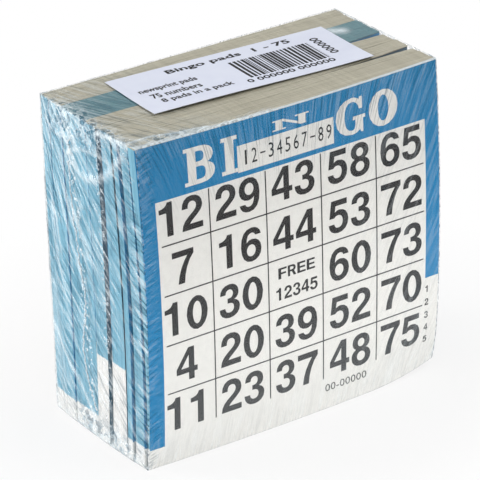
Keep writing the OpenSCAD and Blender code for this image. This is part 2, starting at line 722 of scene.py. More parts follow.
@dataclass(frozen=True)
class ClearFilm:
    """Thin clear shrink film: its streaks whiten it with painted highlights, partly its own whitening,
    or darken what lies behind with painted shade, and its creases carry painted glints.

    The streaks follow the film as it was before it was bent, which its mesh carries as "flat". The mesh
    also carries "haze" for its folds, their whitening and painted highlights, and "crush" for its crumpled
    patches.
    """

    half_w: float
    half_d: float
    top: float
    head_on: float = 0.006
    grazing: float = 0.3
    roughness: float = 0.1
    # Colour of the film's whitening and painted highlights, and of the painted shade in its streaks
    milk: Colour = (0.84, 0.93, 0.97)
    dim: Colour = (0.02, 0.11, 0.18)
    edge: float = 0.35
    crest: Spot = (0.52, 0.64)
    hollow: Spot = (0.47, 0.33)
    most_cover: float = 0.92
    relief: float = 0.3
    side_step: float = 0.13
    patch_scale: float = 0.1
    patchy: Spot = (0.34, 0.58)
    fan_fall: Spot = (75.0, 30.0)
    fan_depth: Spot = (36.0, 16.0)
    ripple_depth: Spot = (40.0, 46.0)
    hang_lean: Spot = (0.011, 0.055)
    hang_fall: Spot = (24.0, 3.0)
    hang_across: Spot = (-35.0, 10.0)
    hang_least: float = 0.7
    border_across: Spot = (-45.8, -47.6)
    cross_across: Spot = (5.0, 40.0)
    stand_rise: Spot = (14.0, 1.5)
    veil_across: Spot = (-46.6, -45.6)
    veil_rise: Spot = (60.0, 8.0)
    left_end: Spot = (-4.0, -10.0)
    glint_scale: float = 0.9
    glints: Spot = (0.46, 0.56)
    line_off: Spot = (0.62, 0.45)
    strip_off: Spot = (1.5, 1.0)
    scratch_across: Spot = (-14.0, -46.0)
    stroke_off: Spot = (3.4, 0.6)
    # Streak layers: white is painted highlight, partly the film's own whitening, and dark is painted shade
    rain: Streaks = Streaks((0.82, -0.88), (0.09, 0.09), 0.22, 0.22)
    fan: Streaks = Streaks((34.0, 0.0), (0.0, 0.05), 0.25, 0.3)
    ripple: Streaks = Streaks((-0.4, 1.05), (0.12, 0.04), 0.16, 0.3)
    hang: Streaks = Streaks((1.9, 0.0), (0.0, 0.07), 0.07, 0.26)
    border: Streaks = Streaks((0.7, 1.9), (0.25, 0.0), 0.06, 0.16)
    cross: Streaks = Streaks((0.75, 0.36), (-0.03, 0.05), 0.05, 0.04)
    stand: Streaks = Streaks((0.95, -0.2), (0.0, 0.08), 0.08, 0.05)
    scratch: Streaks = Streaks((1.0, 0.4), (0.0, 0.08), 0.14, 0.18)
    stroke: Streaks = Streaks((-0.3, 1.3), (0.3, 0.0), 0.4, 0.25)
    # Painted brightening of the lower front and back, and painted highlight along the fold at the top's
    # front edge
    veil: float = 0.033
    front_line: float = 0.6
    front_strip: float = 0.35
    facet_light: float = 0.12
    facet_dark: float = 0.34
    crease_light: float = 0.34
    crease_scale: float = 0.6
    crease_gap: Spot = (0.1, 0.02)
    facet_bright: Spot = (0.66, 0.85)
    facet_dim: Spot = (0.5, 0.3)
    shake: float = 3.0
    shake_scale: float = 0.5
    seal_lean: float = 0.072
    seal_from: float = 14.5
    parting: float = 29.5
    seal_off: Spot = (2.6, 0.6)
    parting_off: Spot = (2.2, 0.8)
    parting_share: float = 0.5
    bubble: float = 0.3
    bubble_rim: Spot = (0.16, 0.08)
    bubble_scale: float = 0.8
    bubble_some: Spot = (0.5, 0.6)
    bubble_light: float = 0.5

    def layer(self, streaks: Streaks, first: Term, second: Term, third: Value, mask: Term) -> Streak:
        """Adds one layer of streaks.

        Args:
            streaks: The layer.
            first: First coordinate of the place.
            second: Second coordinate of the place.
            third: Coordinate from one pattern to the next.
            mask: Where the layer shows.

        Returns:
            How far its painted highlight whitens the film and how far its painted shade darkens what lies
            behind.
        """
        across, along = (a * first + b * second for a, b in (streaks.across, streaks.along))
        level = mask.shader.vector(across, along, third).grain(detail=1.0)
        # Painted highlight on the crests, painted shade in the hollows
        light = level.band(*self.crest) * mask * streaks.white
        return light, level.band(*self.hollow) * mask * streaks.dark

    def side_layers(self, at: FilmPlace) -> list[Streak]:
        """Painted highlights and shade of streaks on the sides: slanting rain, a fan from the rear corner
        and ripples at the front edge.

        Args:
            at: Place on the film.

        Returns:
            How far each layer's painted highlight whitens the film, and how far its painted shade darkens
            what lies behind.
        """
        shader, side = at.x.shader, at.x * self.side_step
        patchy = at.on_side * shader.vector(side, at.y, at.z).grain(self.patch_scale).band(*self.patchy)
        far, down = at.depth + FAN_FROM[0], at.fall + FAN_FROM[1]
        angle, reach = shader.math("ARCTAN2", down, far), shader.math("SQRT", far**2.0 + down**2.0)
        near = at.on_side * at.fall.band(*self.fan_fall) * at.depth.band(*self.fan_depth)
        return [
            self.layer(self.rain, at.depth, at.fall, side, patchy),
            self.layer(self.fan, angle, reach, side, near),
            self.layer(self.ripple, at.depth, at.fall, side, at.on_side * at.depth.band(*self.ripple_depth)),
        ]

    def front_layers(self, at: FilmPlace) -> list[Streak]:
        """Painted highlights and shade of streaks on front and back, which hang from the top, cross the
        borders or stand on the foot, with a painted brightening towards the foot.

        Args:
            at: Place on the film.

        Returns:
            How far each layer's painted highlight whitens the film, and how far its painted shade darkens
            what lies behind.
        """
        x, y, z, fall = at.x, at.y, at.z, at.fall
        lean = (self.hang_lean[0] * x + self.hang_lean[1]) * fall
        gain = (1 - self.hang_least) * x.band(*self.hang_across) + self.hang_least
        upper = at.on_flat * fall.band(*self.hang_fall) * gain
        # Painted brightening of the front and back towards the foot, all but their left edges
        veil = at.on_flat * x.band(*self.veil_across) * z.band(*self.veil_rise)
        return [
            self.layer(self.hang, x + lean, fall, y, upper),
            self.layer(self.border, x, fall, y, at.on_flat * x.band(*self.border_across)),
            self.layer(self.cross, x, fall, y, at.on_flat * x.band(*self.cross_across)),
            self.layer(self.stand, x, z, y, at.on_flat * z.band(*self.stand_rise)),
            (self.veil * veil, 0.0),
        ]

    def top_layers(self, at: FilmPlace) -> list[Streak]:
        """Painted highlights and shade on the top: scratches at the left end, and a painted highlight along
        the fold at the front edge.

        Args:
            at: Place on the film.

        Returns:
            How far each layer's painted highlight whitens the film, and how far its painted shade darkens
            what lies behind.
        """
        x, y, off = at.x, at.y, at.y + self.half_d
        left = x.band(*self.left_end)
        glint = x.shader.vector(x, y).grain(self.glint_scale, 1.0).band(*self.glints)
        # Painted highlight along the fold at the front edge, broken into glints at the left end
        line = at.on_top * off.band(*self.line_off) * ((1 - left) | glint)
        strip = at.on_top * left * off.band(*self.strip_off)
        return [
            self.layer(self.scratch, x, y, 3.0, at.on_top * x.band(*self.scratch_across)),
            self.layer(self.stroke, x, y, 5.0, at.on_top * left * off.band(*self.stroke_off)),
            (self.front_line * line + self.front_strip * strip, 0.0),
        ]

    def creases(self, spot: Term) -> Streak:
        """Painted glints and painted shade on the facets and folds of crumpled film, where the mesh is
        marked as crushed.

        Args:
            spot: Place on the film.

        Returns:
            How far the painted glints whiten the film and how far the painted shade darkens what lies
            behind.
        """
        shader = spot.shader
        crush = shader.add("Attribute", output="Fac", attribute_name="crush")
        shake = shader.add("TexNoise", {"Vector": spot, "Scale": self.shake_scale, "Detail": 2.0}, "Color")
        inputs = {0: shake, 1: (self.shake,) * 3, 2: spot}
        shaken = shader.add("VectorMath", inputs, operation="MULTIPLY_ADD")
        cells = {"Vector": shaken, "Scale": self.crease_scale}
        facet = shader.add("TexVoronoi", cells, "Color").split("SeparateColor")[0]
        gap = shader.add("TexVoronoi", cells, "Distance", feature="DISTANCE_TO_EDGE")
        # Painted glints on bright facets and along the creases, painted shade on dim facets
        bright = self.facet_light * facet.band(*self.facet_bright)
        bright = bright + self.crease_light * gap.band(*self.crease_gap)
        return bright * crush, self.facet_dark * facet.band(*self.facet_dim) * crush

    def bubbles(self, at: FilmPlace) -> Term:
        """Painted glints in rings of the small bubbles along the side seals and the widest parting.

        Args:
            at: Place on the film.

        Returns:
            How far the painted glints whiten the film.
        """
        shader = at.x.shader
        away = abs(at.depth - self.seal_lean * at.fall - self.seal_from)
        near = self.parting_share * abs(at.depth - self.parting).band(*self.parting_off)
        near = away.band(*self.seal_off) + near
        cells = {"Vector": shader.vector(at.depth, at.fall), "Scale": self.bubble_scale}
        far = abs(shader.add("TexVoronoi", cells, "Distance") - self.bubble)
        some = shader.add("TexVoronoi", cells, "Color").split("SeparateColor")[1].band(*self.bubble_some)
        return far.band(*self.bubble_rim) * some * near * at.on_side * self.bubble_light

    def place(self, spot: Term) -> FilmPlace:
        """Takes a place on the film apart.

        Args:
            spot: The place.

        Returns:
            Its coordinates and the panels' masks.
        """
        x, y, z = spot.split()
        on_side, on_flat = abs(x) > self.half_w - self.edge, abs(y) > self.half_d - self.edge
        return FilmPlace(x, y, z, self.half_d - y, self.top - z, on_side, on_flat, z > self.top - self.edge)

    def material(self) -> bpy.types.Material:
        """Makes the film.

        Returns:
            The material.
        """
        shader = Shader("film_clear")
        spot = shader.add("Attribute", output="Vector", attribute_name="flat")
        at = self.place(spot)
        layers = [*self.side_layers(at), *self.front_layers(at), *self.top_layers(at), self.creases(spot)]
        haze = shader.add("Attribute", output="Fac", attribute_name="haze")
        folded = haze * spot.grain(1.3, 3.0).band(-0.2, 0.65)
        # white sums the whitening of the folds and the painted highlights, dark sums the painted shade
        white = sum((light for light, _ in layers), folded + self.bubbles(at))
        dark = sum(shade for _, shade in layers if isinstance(shade, Term))
        both = white + dark
        facing = shader.add("LayerWeight", {"Blend": 0.5}, "Facing")
        gloss = facing**5.0 * self.grazing + self.head_on + 0.04 * white
        # Whitening and painted highlight take one colour, painted shade the other
        colour = shader.blend(dark / (both | LEAST), self.milk, self.dim)
        streak = shader.add("BsdfDiffuse", {"Color": colour})
        relief = shader.bump(white - dark, self.relief)
        mirror = shader.add("BsdfGlossy", {"Color": WHITE, "Roughness": self.roughness, "Normal": relief})
        clear = shader.clear()
        film = shader.mix(shader.math("MINIMUM", both, self.most_cover), clear, streak)
        film = shader.mix(gloss, film, mirror)
        for kind in ("Diffuse", "Shadow"):
            film = shader.mix(shader.add("LightPath", output=f"Is {kind} Ray"), film, clear)
        return shader.show(film)


@dataclass(frozen=True)
class MeltedFilm:
    """Cloudy ridge of film that the sealing knife melted."""

    colour: Colour = (0.95, 0.96, 0.97)
    shade: Colour = (0.70, 0.78, 0.83)
    roughness: float = 0.18
    relief: float = 0.2

    def material(self) -> bpy.types.Material:
        """Makes the melted film, clear in places and white in others.

        Returns:
            The material.
        """
        shader = Shader("seal_melted")
        lumps = shader.places().grain(1.2, 3.0)
        colour = shader.blend(lumps.band(0.3, 0.7), self.shade, self.colour)
        relief = shader.bump(lumps, self.relief)
        inputs = {"Base Color": colour, "Roughness": self.roughness, "Normal": relief}
        body = shader.add("BsdfPrincipled", inputs)
        return shader.show(shader.mix(lumps.band(0.28, 0.55), shader.clear(), body))


@dataclass(frozen=True)
class CoatedPaper:
    """Smooth white label paper."""

    colour: Colour = (0.80, 0.84, 0.97)
    shade: Colour = (0.76, 0.80, 0.94)
    roughness: float = 0.45

    def material(self) -> bpy.types.Material:
        """Makes the label paper.

        Returns:
            The material.
        """
        shader = Shader("label_paper")
        cloud = shader.places().grain(0.15, 3.0).band(0.35, 0.7)
        relief = shader.bump(shader.places().grain(2.0, 3.0), 0.01)
        return shader.surface(shader.blend(cloud, self.colour, self.shade), self.roughness, relief=relief)


def ellipse(middle: Spot, radii: Spot) -> list[tuple]:
    """Closed outline of an ellipse from four cubic arcs.

    Args:
        middle: Its centre.
        radii: Its half width and half height.

    Returns:
        The outline as points and cubic steps.
    """
    pull = 0.5523
    (cx, cy), (rx, ry) = middle, radii
    turns = [(1, 0), (0, 1), (-1, 0), (0, -1), (1, 0)]
    outline: list[tuple] = [(cx + rx, cy)]
    for (ax, ay), (bx, by) in zip(turns, turns[1:]):
        first = (cx + rx * (ax + bx * pull), cy + ry * (ay + by * pull))
        second = (cx + rx * (bx + ax * pull), cy + ry * (by + ay * pull))
        outline.append((*first, *second, cx + rx * bx, cy + ry * by))
    return outline


def turned(outlines: list[list[tuple]], width: float, height: float) -> list[list[tuple]]:
    """Outlines turned half round inside a box of the given width and height.

    Args:
        outlines: The outlines.
        width: Width of the box.
        height: Height of the box.

    Returns:
        The turned outlines.
    """
    return [
        [tuple((width, height)[i % 2] - c for i, c in enumerate(step)) for step in outline]
        for outline in outlines
    ]


SIX = [
    [
        (512, 535), (376, 535), (370, 575, 335, 598, 290, 598), (210, 598, 172, 530, 166, 400),
        (200, 440, 245, 462, 305, 462), (430, 462, 520, 370, 520, 226), (520, 80, 420, -19, 280, -19),
        (120, -19, 31, 105, 31, 335), (31, 580, 125, 710, 288, 710), (415, 710, 500, 645, 512, 535),
    ],
    ellipse((275, 224), (107, 128)),
]
# Outlines of the figures, 710 units high: a pair is a straight step and six numbers are a cubic one
FIGURES: dict[str, list[list[tuple]]] = {
    "0": [ellipse((278, 345), (250, 364)), ellipse((278, 345), (106, 246))],
    "1": [
        [(378, 0), (378, 710), (265, 710), (250, 630, 170, 590, 69, 588), (69, 492), (236, 492), (236, 0)],
    ],
    "2": [
        [
            (26, 0), (511, 0), (511, 124), (210, 124), (235, 175, 300, 215, 370, 275),
            (460, 350, 511, 400, 511, 492), (511, 625, 415, 710, 270, 710), (120, 710, 38, 615, 36, 455),
            (172, 455), (174, 545, 205, 592, 268, 592), (332, 592, 370, 550, 370, 490),
            (370, 430, 330, 390, 255, 335), (130, 245, 30, 170, 26, 0),
        ],
    ],
    "3": [
        [
            (27, 205), (163, 205), (165, 135, 205, 97, 270, 97), (335, 97, 374, 140, 374, 203),
            (374, 270, 330, 302, 262, 302), (222, 302), (222, 406), (258, 406),
            (322, 406, 356, 440, 356, 502), (356, 560, 322, 596, 270, 596), (212, 596, 180, 558, 178, 497),
            (46, 497), (48, 630, 135, 710, 272, 710), (405, 710, 492, 632, 492, 515),
            (492, 440, 455, 385, 385, 360), (470, 335, 516, 275, 516, 195), (516, 65, 415, -19, 268, -19),
            (118, -19, 28, 68, 27, 205),
        ],
    ],
    "4": [
        [
            (318, 0), (450, 0), (450, 158), (526, 158), (526, 270), (450, 270), (450, 710), (312, 710),
            (27, 285), (27, 158), (318, 158),
        ],
        [(318, 270), (318, 545), (136, 270)],
    ],
    "5": [
        [
            (27, 190), (167, 190), (172, 130, 208, 97, 266, 97), (335, 97, 378, 150, 378, 235),
            (378, 318, 335, 368, 264, 368), (220, 368, 190, 352, 170, 322), (48, 322), (96, 698), (486, 698),
            (486, 576), (204, 576), (182, 440), (215, 468, 255, 482, 300, 482),
            (430, 482, 516, 385, 516, 240), (516, 85, 415, -19, 264, -19), (120, -19, 30, 62, 27, 190),
        ],
    ],
    "6": SIX,
    "7": [
        [
            (528, 698), (25, 698), (25, 574), (382, 574), (270, 440, 165, 220, 150, 0), (300, 0),
            (305, 220, 400, 470, 528, 590),
        ],
    ],
    "8": [
        [
            (278, 710), (410, 710, 500, 635, 500, 520), (500, 450, 465, 395, 405, 368),
            (480, 340, 524, 278, 524, 195), (524, 65, 425, -19, 278, -19), (130, -19, 32, 65, 32, 195),
            (32, 278, 76, 340, 150, 368), (90, 395, 56, 450, 56, 520), (56, 635, 146, 710, 278, 710),
        ],
        ellipse((278, 508), (88, 92)),
        ellipse((278, 200), (108, 106)),
    ],
    "9": turned(SIX, 551, 691),
}
# Outlines of the heading's slab letters and of the plain letters in the middle square
LETTERS: dict[str, list[list[tuple]]] = {
    "B": [
        [
            (0, 0), (330, 0), (500, 0, 610, 80, 610, 205), (610, 290, 560, 350, 470, 372),
            (545, 400, 585, 455, 585, 530), (585, 640, 490, 710, 330, 710), (0, 710), (0, 640), (70, 640),
            (70, 70), (0, 70),
        ],
        [(235, 620), (235, 420), (300, 420), (370, 420, 400, 450, 400, 520), (400, 590, 370, 620, 300, 620)],
        [(235, 330), (235, 85), (320, 85), (395, 85, 425, 130, 425, 205), (425, 290, 395, 330, 320, 330)],
    ],
    "I": [
        [
            (0, 0), (330, 0), (330, 75), (255, 75), (255, 635), (330, 635), (330, 710), (0, 710), (0, 635),
            (75, 635), (75, 75), (0, 75),
        ],
    ],
    "N": [
        [
            (0, 710), (270, 710), (640, 235), (640, 620), (560, 620), (560, 710), (900, 710), (900, 620),
            (820, 620), (820, 0), (690, 0), (250, 560), (250, 90), (330, 90), (330, 0), (0, 0), (0, 90),
            (80, 90), (80, 620), (0, 620),
        ],
    ],
    "G": [
        [
            (575, 705), (520, 705), (505, 660), (460, 700, 410, 722, 350, 722), (140, 722, 0, 570, 0, 350),
            (0, 130, 140, -12, 345, -12), (420, -12, 480, 15, 520, 60), (545, 0), (590, 0), (590, 270),
            (640, 270), (640, 340), (370, 340), (370, 270), (425, 270), (425, 190),
            (425, 110, 395, 70, 350, 70), (240, 70, 190, 170, 190, 350), (190, 540, 245, 640, 345, 640),
            (430, 640, 490, 580, 510, 470), (575, 470),
        ],
    ],
    "O": [ellipse((320, 355), (320, 367)), ellipse((320, 355), (118, 262))],
    "F": [
        [
            (60, 0), (200, 0), (200, 290), (440, 290), (440, 410), (200, 410), (200, 590), (480, 590),
            (480, 710), (60, 710),
        ],
    ],
    "R": [
        [
            (60, 0), (200, 0), (200, 275), (310, 275), (430, 0), (590, 0), (455, 300),
            (520, 335, 560, 400, 560, 490), (560, 640, 460, 710, 310, 710), (60, 710),
        ],
        [(200, 590), (200, 395), (300, 395), (380, 395, 420, 425, 420, 492), (420, 560, 380, 590, 300, 590)],
    ],
    "E": [
        [
            (60, 0), (510, 0), (510, 120), (200, 120), (200, 300), (480, 300), (480, 415), (200, 415),
            (200, 590), (500, 590), (500, 710), (60, 710),
        ],
    ],
}


@dataclass
class TypeCase:
    """Case of raised type: each character is cut once, and copied where it is printed."""

    raise_by: float = 0.03
    unit_height: float = 710.0
    advance: float = 556.0
    figure_steps: int = 4
    text_steps: int = 2
    cut: dict[str, bpy.types.Object] = field(default_factory=dict)

    def character(self, name: str) -> bpy.types.Object:
        """Copies a character, which is cut from its outlines the first time that it is asked for.

        Args:
            name: The character.

        Returns:
            The copy, in outline units, with its face up.
        """
        if name not in self.cut:
            curve = bpy.data.curves.new("type_" + name, "CURVE")
            curve.dimensions = "2D"
            curve.fill_mode = "BOTH"
            curve.resolution_u = self.figure_steps
            curve.extrude = 1.0
            for outline in {**FIGURES, **LETTERS}[name]:
                self.add_outline(curve, outline)
            self.cut[name] = mesh_of(curve)
        return copy_of(self.cut[name])

    def add_outline(self, curve: bpy.types.Curve, outline: list[tuple]) -> None:
        """Adds one closed outline to a curve.

        Args:
            curve: The curve to add it to.
            outline: Points for straight steps and six numbers for cubic ones.
        """
        ends = [step[-2:] for step in outline]
        closes = len(outline[-1]) == CUBIC and ends[-1] == outline[0]
        steps = outline[1:] if closes else [*outline[1:], outline[0]]
        spline = curve.splines.new("BEZIER")
        spline.use_cyclic_u = True
        points = spline.bezier_points
        points.add(len(steps) - 1)
        runs = [(points[i], points[(i + 1) % len(steps)], step) for i, step in enumerate(steps)]
        for (here, there, step), end in zip(runs, ends):
            here.co = (*end, 0)
            here.handle_right_type = there.handle_left_type = "FREE" if len(step) == CUBIC else "VECTOR"
        for here, there, step in runs:
            if len(step) == CUBIC:
                here.handle_right = (*step[:2], 0)
                there.handle_left = (*step[2:4], 0)

    def stand(self, piece: bpy.types.Object, corner: Spot, size: Spot) -> bpy.types.Object:
        """Stands a flat piece up on a card, looking along -Y.

        Args:
            piece: The piece, with its face up.
            corner: Where its origin goes, across and up.
            size: Millimetres to each of its units, across and up.

        Returns:
            The piece.
        """
        turn = Matrix.Rotation(math.pi / 2, 4, "X")
        scale = Matrix.Diagonal((size[0] * MM, size[1] * MM, self.raise_by * MM, 1))
        piece.matrix_world = Matrix.Translation((corner[0] * MM, 0, corner[1] * MM)) @ turn @ scale
        return piece

    def fill(self, piece: bpy.types.Object, start: Spot, end: Spot) -> bpy.types.Object:
        """Stands a flat piece up so that it fills a box.

        Args:
            piece: The piece, with its face up.
            start: One corner of the box, across and up.
            end: The corner opposite to it.

        Returns:
            The piece.
        """
        low, high = np.minimum(start, end), np.maximum(start, end)
        points = points_of(piece)[:, :2] * MM
        size = (high - low) / (points.max(0) - points.min(0))
        return self.stand(piece, low - points.min(0) * size, size)

    def number(self, text: str, middle: Spot, height: float, pitch: float) -> list[bpy.types.Object]:
        """Sets a number about a middle point.

        Args:
            text: Its digits.
            middle: Middle of the number, across and up.
            height: Height of a digit.
            pitch: Distance from one digit to the next.

        Returns:
            A copy of each digit.
        """
        size = (pitch / self.advance, height / self.unit_height)
        left, foot = middle[0] - pitch * len(text) / 2, middle[1] - height / 2
        return [
            self.stand(self.character(digit), (left + pitch * place, foot), size)
            for place, digit in enumerate(text)
        ]

    def words(self, text: str, start: Spot, end: Spot, bold: float = 0.0) -> bpy.types.Object:
        """Sets a line of plain text so that it fills a box.

        Args:
            text: The line.
            start: One corner of the box, across and up.
            end: The corner opposite to it.
            bold: Thickening of the strokes, as a share of the type's height.

        Returns:
            The line, looking along -Y.
        """
        deselect_all()
        bpy.ops.object.text_add()
        line = bpy.context.object.data
        line.body = text
        line.resolution_u = self.text_steps
        line.extrude = 1.0
        line.offset = bold
        bpy.ops.object.convert(target="MESH")
        return self.fill(bpy.context.object, start, end)

    def clear(self) -> None:
        """Puts the case away, so that only the printed copies stay."""
        for piece in self.cut.values():
            bpy.data.objects.remove(piece)
        self.cut.clear()


@dataclass(frozen=True)
class Parting:
    """How a parting between two pads opens towards the ends of the stack."""

    lean: float = 0.0
    left_top: float = 0.0
    left_foot: float = 0.0
    right_top: float = 0.0


@dataclass
class Stack:
    """The eight pads as they stand in the film, and how its pull bends them out of square."""

    half_w: float = 50.8
    corner_back: float = 1.53
    sway: float = 0.55
    splay: float = 0.84
    curl_back: float = 1.2
    curl_up: float = 2.2
    curl_from: Spot = (0.5, 0.6)
    overhang: float = 1.03
    open_reach: float = 30.0
    right_reach: float = 14.0
    lean_reach: float = 45.0
    gum_gap: float = 0.05
    skew: float = 0.55
    partings: tuple[Parting, ...] = (
        Parting(left_top=0.9, left_foot=-0.12),
        Parting(left_top=-0.07, left_foot=-0.07),
        Parting(left_top=-0.1, left_foot=-0.1, right_top=2.4),
        Parting(left_top=0.85, left_foot=0.35),
        Parting(lean=1.1, left_top=1.0, left_foot=0.4, right_top=2.6),
        Parting(lean=1.0, left_top=0.6, left_foot=0.5),
        Parting(lean=1.3, left_top=0.7, left_foot=0.45),
    )
    spans: list[tuple[float, float]] = field(default_factory=list)
    top: float = 0.0

    def __post_init__(self) -> None:
        """Reads the top of the gum, and where each pad starts and ends along Y."""
        for number in range(1, len(self.partings) + 2):
            low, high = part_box(f"pad_{number}_gum")
            self.spans.append((high.y / MM, low.y / MM))
            self.top = high.z / MM

    @property
    def back(self) -> float:
        """Back of the rearmost pad."""
        return self.spans[0][0]

    @property
    def front(self) -> float:
        """Front of the foremost pad."""
        return self.spans[-1][1]

    def sides_of_parting(
        self, number: int, x: np.ndarray, z: np.ndarray, bound: bool
    ) -> tuple[np.ndarray, np.ndarray]:
        """Where a parting's rear and front sides are.

        Args:
            number: Number of the pad behind the parting.
            x: Places across.
            z: Heights.
            bound: Whether it is the parting of the gum, which all but closes it on the left.

        Returns:
            Y of the rear side and of the front side.
        """
        parting = self.partings[number - 1]
        rear, fore = self.spans[number - 1][1], self.spans[number][0]
        left, right = np.clip(x + self.half_w, 0, None), np.clip(self.half_w - x, 0, None)
        up = np.clip(z / self.top, 0, 1)
        wide = parting.left_foot + (parting.left_top - parting.left_foot) * up
        wide = wide * np.exp(-left / self.open_reach)
        if bound:
            wide = np.full(len(x), self.gum_gap - (rear - fore))
        wide = wide + parting.right_top * up**3 * np.exp(-right / self.right_reach)
        shift = parting.lean * (2 * up - 1) * np.exp(-left / self.lean_reach)
        return rear + shift + wide / 2, fore + shift - wide / 2

    def spread(self, number: int, points: np.ndarray, bound: bool = False) -> np.ndarray:
        """Moves points of a square pad to where its front and back are in the stack.

        The left edge of the foremost pad is cut out of square.

        Args:
            number: Number of the pad.
            points: Points of the square pad.
            bound: Whether they are points of its gum.

        Returns:
            The moved points.
        """
        x, y, z = points.T
        if number == len(self.spans):
            x = x + self.skew * (1 - 2 * z / self.top) * np.clip((self.half_w - x) / (2 * self.half_w), 0, 1)
        rear, fore = self.spans[number - 1]
        new_rear = rear if number == 1 else self.sides_of_parting(number - 1, x, z, bound)[1]
        new_fore = fore if number == len(self.spans) else self.sides_of_parting(number, x, z, bound)[0]
        share = (rear - y) / (rear - fore)
        return np.column_stack([x, new_rear + (new_fore - new_rear) * share, z])

    def bend(self, points: np.ndarray) -> np.ndarray:
        """Bends points of the square brick as the film pulls it.

        Args:
            points: Points of the square brick.

        Returns:
            The bent points.
        """
        x, y, z = points.T
        across = np.clip(x / self.half_w, -self.overhang, self.overhang)
        rise = np.clip(2 * z / self.top - 1, -self.overhang, self.overhang)
        fore = np.clip((self.back - y) / (self.back - self.front), 0, 1)
        corner = across**2 * rise**2
        aside, low = (
            np.clip((share - start) / (1 - start), 0, None)
            for share, start in zip((across, -rise), self.curl_from)
        )
        foot = aside**2 * low**2
        new_x = x + self.sway * (1 - rise**2) * fore
        new_y = y + self.corner_back * corner * fore + self.splay * (1 - fore) * z / self.top
        new_y = new_y + self.curl_back * foot * fore**2
        return np.column_stack([new_x, new_y, z + self.curl_up * foot * fore**2])


@dataclass(frozen=True)
class CardLayout:
    """Places of everything printed on a card, from its left edge and its top."""

    columns: tuple[float, ...] = (12.65, 31.45, 50.2, 69.4, 87.95)
    rows: tuple[float, ...] = (23.0, 38.4, 53.55, 68.75, 83.45)
    upright_lines: tuple[float, ...] = (22.1, 40.85, 59.65, 78.95)
    level_lines: tuple[float, ...] = (30.7, 45.9, 61.3, 76.5)
    upright_run: Spot = (17.5, 89.0)
    level_run: Spot = (6.1, 95.9)
    upright_cells: int = 20
    level_cells: int = 24
    line_w: float = 0.38
    digit_h: float = 10.2
    digit_pitch: float = 7.8
    heading: tuple[tuple[str, Spot, Spot], ...] = (
        ("B", (14.8, 4.1), (24.6, 15.2)),
        ("I", (26.8, 4.1), (32.1, 15.2)),
        ("N", (43.8, 3.5), (56.2, 6.6)),
        ("G", (65.3, 3.7), (75.6, 14.9)),
        ("O", (76.85, 4.0), (87.15, 15.2)),
    )
    free: str = "FREE"
    free_low: Spot = (44.25, 52.2)
    free_high: Spot = (57.35, 48.8)
    free_share: float = 0.88
    running: str = "12345"
    middle_number: tuple[Spot, float, float] = ((50.5, 56.9), 3.9, 3.0)
    side_number: tuple[float, float, float, float] = (97.45, 71.5, 4.25, 2.2)
    side_pitch: float = 1.6
    serial: str = "12-34567-89"
    serial_from: float = 33.9
    serial_pitch: float = 2.81
    serial_share: float = 0.62
    serial_run: Spot = (13.8, 9.4)
    one_inset: float = 0.55
    dash_share: Spot = (0.45, 0.55)
    code: str = "00-00000"
    code_low: Spot = (60.3, 93.4)
    code_high: Spot = (75.4, 91.0)


FRONT_NUMBERS = (
    (12, 29, 43, 58, 65),
    (7, 16, 44, 53, 72),
    (10, 30, 0, 60, 73),
    (4, 20, 39, 52, 70),
    (11, 23, 37, 48, 75),
)


def card_numbers(pad: int) -> tuple[tuple[int, ...], ...]:
    """Numbers of the card on a pad: fifteen run in each column, and each pad starts elsewhere.

    Args:
        pad: Number of the pad.

    Returns:
        Five rows of five numbers.
    """
    step = 2 + pad % 3 * 2
    return tuple(
        tuple(column * 15 + 1 + (pad * 4 + column * 3 + row * step) % 15 for column in range(5))
        for row in range(5)
    )


